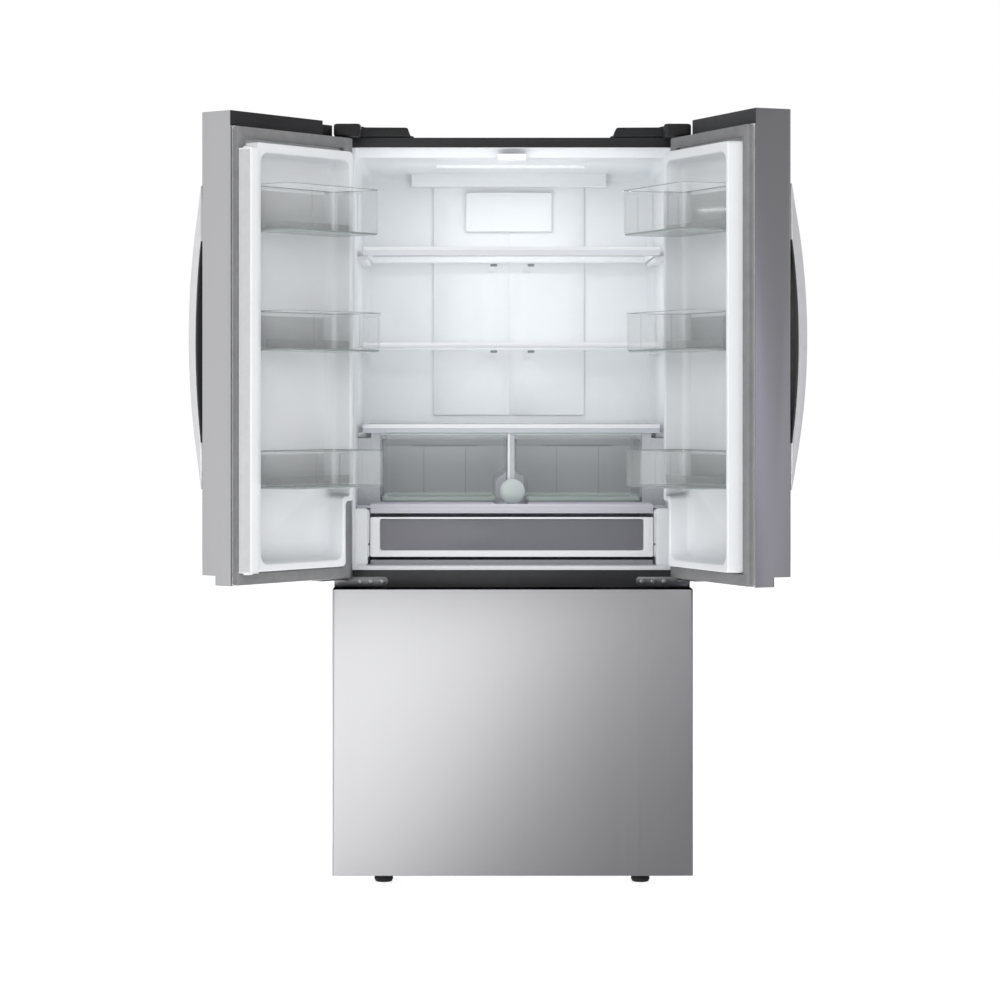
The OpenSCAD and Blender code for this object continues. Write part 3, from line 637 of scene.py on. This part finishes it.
def liner_moulding():
    """Flat border, then one continuous moulding: raised frame with soft edges, deep recess."""
    plate = loft([ring(LINER_PLATE, 0, 4, -1), ring(LINER_PLATE, 0, 4, 0.4), ring(LINER_PLATE, 0.6, 4, 1)])
    foot, crest, floor = 6, 4, 14          # radii where the frame rises, along its top, and in the recess
    rings = [dyke_ring(DYKE, -foot, 12, 0.5)]
    for a in quarter():
        rings.append(dyke_ring(DYKE, -foot * (1 - math.sin(a)), 12, 1 + foot * (1 - math.cos(a))))
    for a in quarter():
        level = DYKE_H - crest + crest * math.sin(a)
        rings.append(dyke_ring(DYKE, 1.2 + crest * (1 - math.cos(a)), 12, level))
    for a in reversed(quarter()):
        level = DYKE_H - crest + crest * math.sin(a)
        rings.append(dyke_ring(DYKE_INSIDE, -crest * (1 - math.cos(a)), 22, level))
    for a in reversed(quarter()):
        level = 1.6 + floor * (1 - math.cos(a))
        rings.append(dyke_ring(DYKE_INSIDE, 3 + floor * (1 - math.sin(a)), 24, level))
    rings.append(dyke_ring(DYKE_INSIDE, 34, 24, 1.6))
    rings.append(dyke_ring(DYKE_INSIDE, 38, 24, 3.0))
    return join(plate, loft(rings))


def make_liner(side):
    """The door's inner moulding. The left one also carries the bearings of the flip mullion."""
    parts = [liner_moulding()]
    if side == "left":
        lo, hi = local_box("flip_mullion", side)
        for z in (lo.z - 0.2, hi.z - 3.8):
            parts.append(box_mesh(DYKE[1] - 1, hi.x - 14, 20, 40, z, z + 4, 1, 9, "z"))
    piece(f"{side}_door_liner_moulding", join(*parts), f"{side}_door", "white_liner", DOOR[side],
          replaces=[f"{side}_door_liner"])


def gasket_profile(depth, width):
    """Section of a magnetic seal: dart foot, two pleats and the flat magnet sleeve."""
    w, d = width, depth
    return [(0.0, -0.02 * d), (0.0, 0.16 * d), (0.05 * w, 0.28 * d), (0.01 * w, 0.42 * d),
            (0.06 * w, 0.54 * d), (0.0, 0.66 * d), (0.0, 0.90 * d), (0.05 * w, 0.98 * d), (0.5 * w, d),
            (0.93 * w, 0.98 * d), (0.98 * w, 0.90 * d), (0.98 * w, 0.70 * d), (0.86 * w, 0.60 * d),
            (0.97 * w, 0.46 * d), (0.86 * w, 0.32 * d), (0.80 * w, 0)]


def make_gasket(side):
    """The magnetic seal round the door's inner face, from its own section."""
    lo, hi = local_box(f"{side}_door_gasket", side)
    profile = [(i, lo.y + level) for i, level in gasket_profile(hi.y - lo.y, 26)]
    part = frame_sweep((lo.x - 0.5, hi.x + 0.5, lo.z - 0.5, hi.z + 0.5), 5, profile)
    piece(f"{side}_door_seal", part, f"{side}_door", "gasket_rubber", DOOR[side],
          replaces=[f"{side}_door_gasket"], smooth=50)


def corner(x, y, sx, sy, r, start, inset, steps=6):
    """Convex corner at x, y whose inside lies towards sx, sy."""
    r_in = max(r - inset, 0.4)
    return arc(x + sx * (inset + r_in), y + sy * (inset + r_in), r_in, start, start + 90, steps)


def bin_outline(lo, hi, inset):
    """Plan of a door bin: narrow where it hooks into the recess, wider in front of it."""
    reach = hi.y
    mouth = DYKE_H + 1.5
    lead = min(30, reach - DYKE_H - 6)
    hook = 69 - lo.x
    return (corner(lo.x + hook, lo.y, 1, 1, 5, 180, inset) + corner(hi.x - 1, lo.y, -1, 1, 5, 270, inset)
            + corner(hi.x, reach, -1, -1, lead, 0, inset) + corner(lo.x, reach, 1, -1, 14, 90, inset)
            + corner(lo.x, mouth, 1, 1, 3, 180, inset)
            + arc(lo.x + hook - 3, mouth - 3, 3 + inset, 90, 0, 6))


def make_bin(side, name):
    """A clear door bin with ribs, and its rim, lower edge and floor, which look denser."""
    lo, hi = local_box(f"{side}_bin_{name}", side)
    parts = [vessel(lambda i, z: bin_outline(lo, hi, i), lo.z, hi.z, 2.6, 3, 9, 1.4, 9)]
    middle = (lo.x + hi.x) / 2
    for x in (middle - 78, middle, middle + 78):
        parts.append(box_mesh(x - 1.1, x + 1.1, hi.y - 5.0, hi.y - 2.0, lo.z + 9, hi.z - 9, 0.8, 0.8))
    parts.append(box_mesh(lo.x + 14, hi.x - 14, DYKE_H - 1, DYKE_H + 1, lo.z + 3, lo.z + 26, 0.8, 0.9))
    piece(f"{side}_bin_{name}_moulding", join(*parts), f"{side}_door", "clear_plastic", DOOR[side],
          replaces=[f"{side}_bin_{name}"])
    rim = loft([placed(bin_outline(lo, hi, i), hi.z + dz, "z") for i, dz in
                ((-1.5, -1.2), (-1.5, 0.2), (2.7, 0.2), (2.7, -1.2))], loop=True)
    base = loft([placed(bin_outline(lo, hi, i), lo.z + dz, "z") for i, dz in
                 ((9.5, -0.15), (3.6, 1.0), (0.6, 4.2), (3.0, 4.6), (9.5, 3.3))])
    piece(f"{side}_bin_{name}_edges", join(rim, base), f"{side}_door", "clear_plastic", DOOR[side],
          material=BIN_EDGE)
    floor = solid(lambda i: bin_outline(lo, hi, 5 + i), lo.z + 3.1, lo.z + 4.3, 0.4)
    piece(f"{side}_bin_{name}_floor", floor, f"{side}_door", "clear_plastic", DOOR[side],
          material=BIN_FLOOR)


def bow(chord, rise, offset):
    """Height of a circular bow over its chord, at that distance from its middle."""
    if abs(offset) >= chord / 2:
        return 0.0
    radius = (chord * chord / 4 + rise * rise) / (2 * rise)
    return rise - radius + math.sqrt(radius * radius - offset * offset)


GAP_CHORD, GAP_RISE, GAP_DROP = 462, 17, 10    # finger gap, and its middle below the handle's middle


def make_handle(side):
    """A bowed steel handle over a bowed finger gap, with a near-black piece in the gap as painted shade."""
    lo, hi = local_box(f"{side}_handle", side)
    chord, middle = hi.z - lo.z, (hi.z + lo.z) / 2
    front = -DOOR_T
    rise = front - lo.y
    rings = []
    count = 90
    for k in range(count + 1):
        z = middle - (chord / 2 - 3) * math.cos(math.pi * k / count)
        outer = front - bow(chord, rise, z - middle)
        inner = front - bow(GAP_CHORD, GAP_RISE, z - middle + GAP_DROP) + 0.4
        inner = max(inner, outer + 0.6)
        r = min(7, (inner - outer) * 0.49)
        rings.append(placed(rounded(lo.x + 0.5, hi.x - 0.5, outer, inner, r, 8), z, "z"))
    piece(f"{side}_handle_bow", loft(rings), f"{side}_door", "stainless", DOOR[side],
          material=HANDLE_STEEL, replaces=[f"{side}_handle"], smooth=45)
    # The near-black piece along the finger gap is painted shade.
    shade_rings = []
    half = GAP_CHORD / 2 - 6
    count = 60
    for k in range(count + 1):
        offset = -half * math.cos(math.pi * k / count)
        inner = front - bow(GAP_CHORD, GAP_RISE, offset)
        thick = 0.9 + 3.1 * (1 - (offset / half) ** 2)
        shade_rings.append(placed(rounded(lo.x + 3, hi.x - 1.2, inner - 1.5, inner + thick, 0.8, 3),
                             middle - GAP_DROP + offset, "z"))
    piece(f"{side}_handle_gap_shade_piece", loft(shade_rings), f"{side}_door", "charcoal_plastic", DOOR[side],
          material=HANDLE_GAP_SHADE)


def make_flip_mullion():
    """White bar with rounded pivot side, end caps and pins, and a metal face for the gaskets."""
    lo, hi = local_box("flip_mullion", "left")
    low, high = lo.z + 4.2, hi.z - 4.2
    r = (hi.x - lo.x) / 2
    x, y = lo.x + r, lo.y + r

    def outline(i):
        return (arc(x, y, r - i, 180, 270, 8) + arc(x, y, r - i, 270, 360, 8)
                + corner(hi.x, hi.y, -1, -1, 4, 0, i, 5) + corner(lo.x, hi.y, 1, -1, 4, 90, i, 5))

    caps = [solid(outline, low, low + 3, 1.2), solid(outline, high - 3, high, 1.2)]
    body = solid(lambda i: outline(i + 0.8), low + 3, high - 3, 0.3)
    pins = [turned([(2.9, lo.z), (2.9, low + 1)], (x, y, 0), "z", 20),
            turned([(2.9, high - 1), (2.9, hi.z)], (x, y, 0), "z", 20)]
    piece("flip_mullion_body", join(body, *caps, *pins), "flip_mullion", "white_trim", DOOR["left"],
          replaces=["flip_mullion"])
    plate = solid(lambda i: rounded(lo.y + 10 + i, hi.y - 4 - i, low + 3.6 + i, high - 3.6 - i,
                                    1.5 - 0.6 * i), hi.x - 1.4, hi.x - 0.1, 0.5, "x", 2)
    piece("flip_mullion_face", plate, "flip_mullion", "mullion_metal", DOOR["left"])


# ---------------------------------------------------------------- cabinet and what is inside


def make_fresh_liner():
    """Rounded white compartment with a front flange, a step in its ceiling and moulded side rails."""
    opening = (-368, 368, 738, 1716.9)        # at the front, as far back as the step in the ceiling
    inside = (-368, 368, 738, 1698)
    flange = (-397, 397, 729, 1717.9)
    depth, skin = 556, 1.9
    rings = [ring(inside, 20, 6, depth + skin), ring(inside, 4, 22, depth - 14)]
    rings += [ring(inside, -skin, 24, depth - 40), ring(inside, -skin, 24, 46)]
    rings += [ring(opening, -skin * 0.4, 8, 42), ring(opening, -skin * 0.4, 8, 3)]
    rings += [ring(flange, 0, 4, 2), ring(flange, 0, 4, 0.5), ring(flange, 0.5, 4, 0.0)]
    for a in quarter():
        rings.append(ring(opening, -0.8 + 0.8 * math.sin(a), 8, 3 * (1 - math.cos(a))))
    rings += [ring(opening, 0, 8, 34), ring(inside, 0.0, 12, 42.6), ring(inside, 0.2, 22, 50)]
    for a in quarter(7):
        rings.append(ring(inside, 1.2 + 18 * (1 - math.cos(a)), 24, depth - 18 + 18 * math.sin(a)))
    parts = [loft(rings)]
    for top in (1473, 1253, 1048):
        parts.append(both(box_mesh(345.5, 370, 166, 500, top - 12, top, 2.5, 5, "y")))
    parts.append(both(box_mesh(339.2, 370, 37, 520, 737, 872, 4, 6, "y")))
    for z, h in ((757, 28), (788, 80)):
        parts.append(both(box_mesh(335.2, 342, 56, 500, z, z + h, 1.2, 3, "y")))
    piece("fresh_food_lining", join(*parts), "cabinet", "white_liner", replaces=["fresh_food_liner"])
    piece("side_wall_slots", both(box_mesh(366.5, 368.8, 306, 312, 886, 912, 0.6, 2.5, "x")), "cabinet",
          "charcoal_plastic")


def make_crisper(side):
    """A clear drawer with a front lip, ribs and a waist beside the pillar's foot; drawn as the right one."""
    x0, x1, z0, z1 = 9, 309, 885, 1032
    y0, y1 = box_mm(f"crisper_{side}")[0].y + 6, 500

    def inner_side(z):
        """Where the wall by the pillar is: 27 mm further out below the waist, with a soft change."""
        t = min(max((z - 936) / 22, 0), 1)
        return x0 + 27 - 27 * t * t * (3 - 2 * t)

    def outline(inset, z):
        left = inner_side(z)
        return rounded(left + inset, x1 - inset, y0 + inset, y1 - inset, max(12 - inset * 0.6, 2), 6)

    shell = vessel(outline, z0, z1, 2.6, 3, 11, steps=6,
                   stations=(900, 930, 940, 945, 950, 956, 962, 1000))
    lip = solid(lambda i: rounded(x0 + i, x1 - i, 1018 + i, 1046 - i, 5 - i * 0.8), y0 - 6, y0 + 2, 2, "y")
    grip = box_mesh(x0 + 70, x1 - 70, y0 - 3, y0 + 14, 1016, 1020, 1.5, 3, "z")
    rails = [box_mesh(x0 + 0.5, x0 + 4, y0 + 2, 498, 1028, 1034, 1.2, 1.6, "y"),
             box_mesh(x1 - 4, x1 - 0.5, y0 + 2, 498, 1028, 1034, 1.2, 1.6, "y")]
    ribs = [box_mesh(x - 1, x + 1, y0 + 2, y0 + 5, 900, 1014, 0.6, 0.9) for x in (109, 209)]
    hand = mirrored if side == "left" else join
    piece(f"crisper_{side}_moulding", hand(join(shell, lip, grip, *rails, *ribs)), f"crisper_{side}",
          "clear_plastic", replaces=[f"crisper_{side}"])
    rim = [(12, 888), (9, 885), (4, 884.6), (-0.6, 887), (-0.9, 894), (0.8, 896.5), (3.2, 895), (11, 891)]
    foot = loft([placed(outline(i, z), z, "z") for i, z in rim], loop=True)
    lipline = box_mesh(x0 + 1, x1 - 1, y0 - 6.6, y0 - 5, 1043, 1046.4, 0.6, 0.7, "x")
    piece(f"crisper_{side}_edges", hand(join(foot, lipline)), f"crisper_{side}", "clear_plastic",
          material=CRISPER_EDGE)


def make_pantry():
    """The wide drawer below: a white front frame, a window tinted dark as painted shade of the drawer's inside,
    and a frosted tray.
    """
    lo, hi = box_mm("pantry_drawer")
    y = lo.y
    outer = (lo.x, hi.x, lo.z, hi.z)
    window = (lo.x + 24, hi.x - 24, lo.z + 16, hi.z - 5)
    border = 24.2
    profile = [(0.0, y + 8), (0.0, y + 2.5), (0.8, y + 0.6), (2.5, y), (20, y), (22.6, y + 0.8),
               (23.6, y + 3), (border, y + 8)]
    front = []
    for inset, level in profile:
        t = inset / border
        rect = tuple(a * (1 - t) + b * t for a, b in zip(outer, window))
        front.append(ring(rect, 0, 4 * (1 - t) + 5 * t, level))
    piece("pantry_drawer_front", loft(front, loop=True), "pantry_drawer", "white_trim",
          replaces=["pantry_drawer"])

    def tray(i, z):
        return rounded(lo.x + 4 + i, hi.x - 4 - i, y + 8 + i, hi.y - i, max(10 - 0.5 * i, 2), 6)

    inside = [vessel(tray, lo.z + 3, hi.z - 6, 2.6, 3)]
    for x in (-200, 0, 200):
        inside.append(box_mesh(x - 2, x + 2, y + 14, hi.y - 8, lo.z + 5, lo.z + 8, 1, 1.5))
    piece("pantry_drawer_tray", join(*inside), "pantry_drawer", "frosted_plastic")
    x0, x1, z0, z1 = window
    glass = solid(lambda i: rounded(x0 + i, x1 - i, z0 + i, z1 - i, 5 - i * 0.8), y + 3, y + 7.5, 1.2, "y")
    # The window's dark tint is painted shade of the drawer's inside.
    piece("pantry_drawer_window", glass, "pantry_drawer", "clear_plastic", material=WINDOW_SHADE_TINT)
    # Grey strip at the front of the compartment's floor: painted shade.
    strip = solid(lambda i: rounded(-333 + i, 333 - i, 737.6 + i, 750 - i, 3 - i * 0.8),
                  y + 2, y + 12, 1.2, "y")
    piece("compartment_floor_shade_strip", strip, "cabinet", "frosted_plastic", material=SHADE_AND_OUTLET_GREY)


def make_shelf_trims():
    """A rounded nose along the front of each shelf, with a band set back below it, painted greyer than the nose as
    the shade beneath it.
    """
    noses, bands, crisper_band = [], [], []
    for y, z, h, split in ((150, 1473.2, 20, 0.62), (150, 1253.2, 11, 0.36), (142, 1048.2, 20.8, 0.55)):
        fold = z + h * split
        nose = [(y + 3, z + h + 0.3), (y - 0.2, z + h + 0.2), (y - 1.6, z + h - 1.4),
                (y - 2.0, (z + h + fold) / 2), (y - 1.7, fold + 0.8), (y - 0.6, fold), (y + 3, fold)]
        band = [(y + 3, fold + 0.5), (y - 0.3, fold + 0.5), (y - 0.8, fold - 0.6), (y - 0.9, (z + fold) / 2),
                (y - 0.9, z + 0.6), (y - 0.2, z - 0.3), (y + 3, z - 0.3)]
        for parts, profile in ((noses, nose), (crisper_band if z < 1100 else bands, band)):
            middle = sum(pz for _, pz in profile) / len(profile)
            rings = []
            for x, shrink in ((-355, 1.0), (-353.6, 0.2), (-350, 0), (350, 0), (353.6, 0.2), (355, 1.0)):
                rings.append([(x, py + shrink, pz + (middle - pz) * 0.04 * shrink) for py, pz in profile])
            parts.append(loft(rings))
    piece("shelf_front_noses", join(*noses), "cabinet", "white_trim")
    # The bands are greyer than the noses: painted shade under the noses.
    piece("shelf_front_bands", join(*bands), "cabinet", "white_trim", material=SHELF_BAND_SHADE)
    # The band over the crispers is darker still: painted shade.
    piece("crisper_front_band", join(*crisper_band), "cabinet", "white_trim", material=CRISPER_BAND_SHADE)


def make_pillar_foot():
    """A pearly dome at the foot of the pillar between the crispers, and the pillar's white front edge."""
    r, rise, seat = 29.8, 9.5, 139.5
    turns = [math.radians(a) for a in range(2, 91, 8)]
    dome = [(r * math.sin(a), seat - rise * math.cos(a)) for a in turns] + [(r, seat + 1.5)]
    piece("pillar_foot_dome", turned(dome, (3, 0, 909), "y", 64), "cabinet", "frosted_plastic",
          material=PEARL)
    edge = box_mesh(-8.4, -2.6, 143.6, 152, 930, 1047.5, 1.2, 2.0)
    piece("pillar_front_edge", edge, "cabinet", "white_trim")


def make_hinge_covers():
    """Low covers on the cabinet's top: a stepped shell with an arm to the door's pin, and a plug."""
    lo, hi = box_mm("hinge_covers")
    base, top, outer = lo.z + 2.2, hi.z, hi.x
    inner = 230
    stations = [(inner, base + 1.6), (inner + 1, base + 3), (inner + 6, base + 3.6),
                (inner + 8, base + 5), (inner + 14, top - 5), (inner + 17, top - 3.2),
                (inner + 22, top - 2.8), (outer - 72, top - 2.4), (outer - 64, top - 0.4),
                (outer - 58, top), (outer - 7, top), (outer - 2, top - 2), (outer, top - 6)]
    rings = []
    for x, height in stations:
        r = min(7, (height - base) / 2 - 0.3)
        rings.append(placed(rounded(-1, 95, base, height, r, 6), x, "x"))
    arm = solid(lambda i: rounded(outer - 63 + i, outer - i, lo.y + i, 6 - i, 12 - i, 8), base - 2, top, 5)
    plug = solid(lambda i: arc(outer - 40, 58, 8 - i, 0, 345, 23), top - 1, top + 0.8, 0.6)
    piece("hinge_cover_shells", both(join(loft(rings), arm, plug)), "cabinet", "charcoal_plastic",
          replaces=["hinge_covers"])


def moved(part, matrix):
    """Mesh data put elsewhere."""
    points, faces = part
    return [tuple(matrix @ Vector(p)) for p in points], faces


def screw(at, toward, r):
    """Hexagonal flanged screw head with a dimple, pointing along toward."""
    turns = [2 * math.pi * k / 24 for k in range(24)]

    def hexagon(size, h):
        points = []
        for a in turns:
            reach = size * math.cos(math.pi / 6) / math.cos((a % (math.pi / 3)) - math.pi / 6)
            points.append((reach * math.cos(a), reach * math.sin(a), h))
        return points

    def disc(size, h):
        return [(size * math.cos(a), size * math.sin(a), h) for a in turns]

    rings = [disc(r, -0.6), disc(r, 0.7), disc(0.9 * r, 1.1), hexagon(0.68 * r, 1.2),
             hexagon(0.68 * r, 2.9), hexagon(0.58 * r, 3.5), disc(0.34 * r, 3.5), disc(0.28 * r, 2.9),
             disc(0.04 * r, 2.7)]
    turn = Vector(toward).to_track_quat("Z", "Y").to_matrix().to_4x4()
    return moved(loft(rings), Matrix.Translation(at) @ turn)


def make_screws():
    """Heads on the middle hinges, round the back panel and on the cover below it."""
    hinge = [screw((x, -6.2, 702.5), (0, -1, 0), 5.4) for x in (304, 330, 356)]
    piece("middle_hinge_screws", both(join(*hinge)), "cabinet", "zinc_steel")
    lo, hi = box_mm("back_panel")
    spots = [(x, z) for z in (lo.z + 18, hi.z - 18) for x in (-390, -195, 0, 195, 390)]
    spots += [(s * (hi.x - 14), z) for s in (-1, 1) for z in (620, 900, 1180, 1460)]
    heads = [screw((x, hi.y, z), (0, 1, 0), 6) for x, z in spots]
    cover_y = box_mm("machine_cover")[1].y
    heads += [screw((x, cover_y, z), (0, 1, 0), 6) for x in (-395, -60, 60, 395) for z in (60, 310)]
    piece("back_screws", join(*heads), "cabinet", "zinc_steel")


def make_back_beads():
    """Pressed beads that stiffen the back sheet, and the folded frame of the lower cover."""
    lo, hi = box_mm("back_panel")
    parts = []
    for x in (-285, -95, 95, 285):
        for half, end, rise, edge in ((42, 70, 2.2, 2.2), (26, 90, 3.6, 1.6)):
            bead = solid(lambda i: rounded(x - half + i, x + half - i, lo.z + end + i, hi.z - end - i,
                                           half - i, 12), hi.y - 1, hi.y + rise, edge, "y", 5)
            parts.append(bead)
    piece("back_panel_beads", join(*parts), "cabinet", "galvanised")
    lo, hi = box_mm("machine_cover")
    rim = frame_sweep((lo.x + 2, hi.x - 2, lo.z + 2, hi.z - 2), 8,
                      [(0, hi.y - 1), (0, hi.y + 1.2), (1, hi.y + 2), (9, hi.y + 2), (10.5, hi.y + 1),
                       (11, hi.y - 1)])
    piece("machine_cover_rim", rim, "cabinet", "galvanised")


def make_front_feet():
    """Levelling feet: a ribbed rubber pad and a threaded stem."""
    for side in ("left", "right"):
        node = f"front_foot_{side}"
        lo, hi = box_mm(node)
        x, y = (lo.x + hi.x) / 2, (lo.y + hi.y) / 2
        profile = [(0.5, 0.2), (17, 0.2), (18.4, 0), (19.6, 1.2), (20.4, 3.4), (21.8, 5.6), (22, 8),
                   (22, 9.2), (21.0, 10), (21.0, 11), (22, 11.8), (22, 19.2), (21.0, 21.2), (18.5, 22),
                   (9.5, 22), (8.8, 23.4), (8.8, 25.6), (5.2, 26)]
        for k in range(16):
            profile += [(4.9, 26.6 + 2.2 * k), (4.1, 27.7 + 2.2 * k)]
        profile += [(4.0, 63), (0.3, 63.4)]
        part = turned(profile, (x, y, 0), "z", 48)
        rib = box_mesh(20.6, 22.0, -0.9, 0.9, 12.4, 19, 0.4, 0.5)
        ribs = []
        for k in range(24):
            turn = Matrix.Rotation(2 * math.pi * k / 24, 4, "Z")
            ribs.append(moved(rib, Matrix.Translation((x, y, 0)) @ turn))
        piece(f"{node}_turned", join(part, *ribs), node, "black_rubber", replaces=[node])


def make_rear_rollers():
    """Grooved wheels with a hub. The section is the same on both sides of its middle."""
    lo, hi = box_mm("rear_rollers")
    half = [(0.5, 17), (3.9, 16.6), (3.9, 9.4), (8, 9.2), (9, 6.6), (13.6, 6.4), (14.4, 9), (17, 9),
            (18, 7.6), (18, 2), (17, 1.2)]
    profile = [(r, -h) for r, h in half] + half[::-1]
    wheels = [turned(profile, (x, (lo.y + hi.y) / 2, 18), "x", 48) for x in (-330, 330)]
    piece("rear_roller_wheels", join(*wheels), "rear_rollers", "black_rubber", replaces=["rear_rollers"])


def make_compressor():
    """A welded shell on four rubber mounts, with its terminal box and process tube."""
    x, y, z = -210, 500, box_mm("compressor")[0].z
    profile = [(0.5, z + 6), (40, z + 7), (60, z + 10), (74, z + 18), (81, z + 32), (82, z + 50),
               (82, z + 76), (86, z + 78), (86, z + 84), (82, z + 86), (81, z + 112), (75, z + 132),
               (62, z + 148), (40, z + 157), (12, z + 160), (0.5, z + 160)]
    body = turned(profile, (x, y, 0), "z", 64)
    plate = box_mesh(x - 78, x + 78, y - 70, y + 70, z, z + 3, 0.8, 12)
    mount = [(0.5, z + 3), (11, z + 3), (12, z + 6), (9, z + 8), (12, z + 10), (12, z + 14), (5, z + 15),
             (5, z + 18), (0.5, z + 18)]
    mounts = [turned(mount, (x + sx * 62, y + sy * 54, 0), "z", 24) for sx in (-1, 1) for sy in (-1, 1)]
    box = box_mesh(x - 30, x + 30, y - 98, y - 78, z + 70, z + 118, 3, 6, "y")
    tube = turned([(0.4, 0), (4.6, 0.4), (4.6, 24), (6, 25), (6, 31), (4.6, 32), (4.6, 44), (0.4, 45)],
                  (x + 42, y + 8, z + 140), "z", 20)
    piece("compressor_shell", join(body, plate, *mounts, box, tube), "cabinet", "black_enamel",
          replaces=["compressor"])


def make_duct_details():
    """A softly edged cover and small outlets on the duct at the back wall."""
    cover = solid(lambda i: rounded(-109 + i, 109 - i, 1552 + i, 1652 - i, 7 - i * 0.5),
                  535.6, 540, 3, "y", steps=5)
    piece("duct_cover_face", cover, "cabinet", "white_trim")
    outlets = [box_mesh(x - 8.6, x + 8.6, 546.4, 549.2, z, z + 6.4, 0.5, 2.5, "y")
               for z in (1465, 1247) for x in (-38, 56)]
    piece("duct_outlets", join(*outlets), "cabinet", "charcoal_plastic", material=SHADE_AND_OUTLET_GREY)


def make_pieces():
    """Every shown piece, doors first."""
    for side in ("left", "right"):
        make_liner(side)
        make_gasket(side)
        make_handle(side)
        for name in ("upper", "middle", "lower"):
            make_bin(side, name)
        make_crisper(side)
    make_flip_mullion()
    make_fresh_liner()
    make_pantry()
    make_shelf_trims()
    make_pillar_foot()
    make_hinge_covers()
    make_screws()
    make_back_beads()
    make_front_feet()
    make_rear_rollers()
    make_compressor()
    make_duct_details()


make_camera()
make_world()
make_lights()
make_front_glows()
make_floor()
make_pieces()
for node in frame["nodes"]:
    finish_cad(node)

bpy.context.scene.view_settings.view_transform = "Standard"
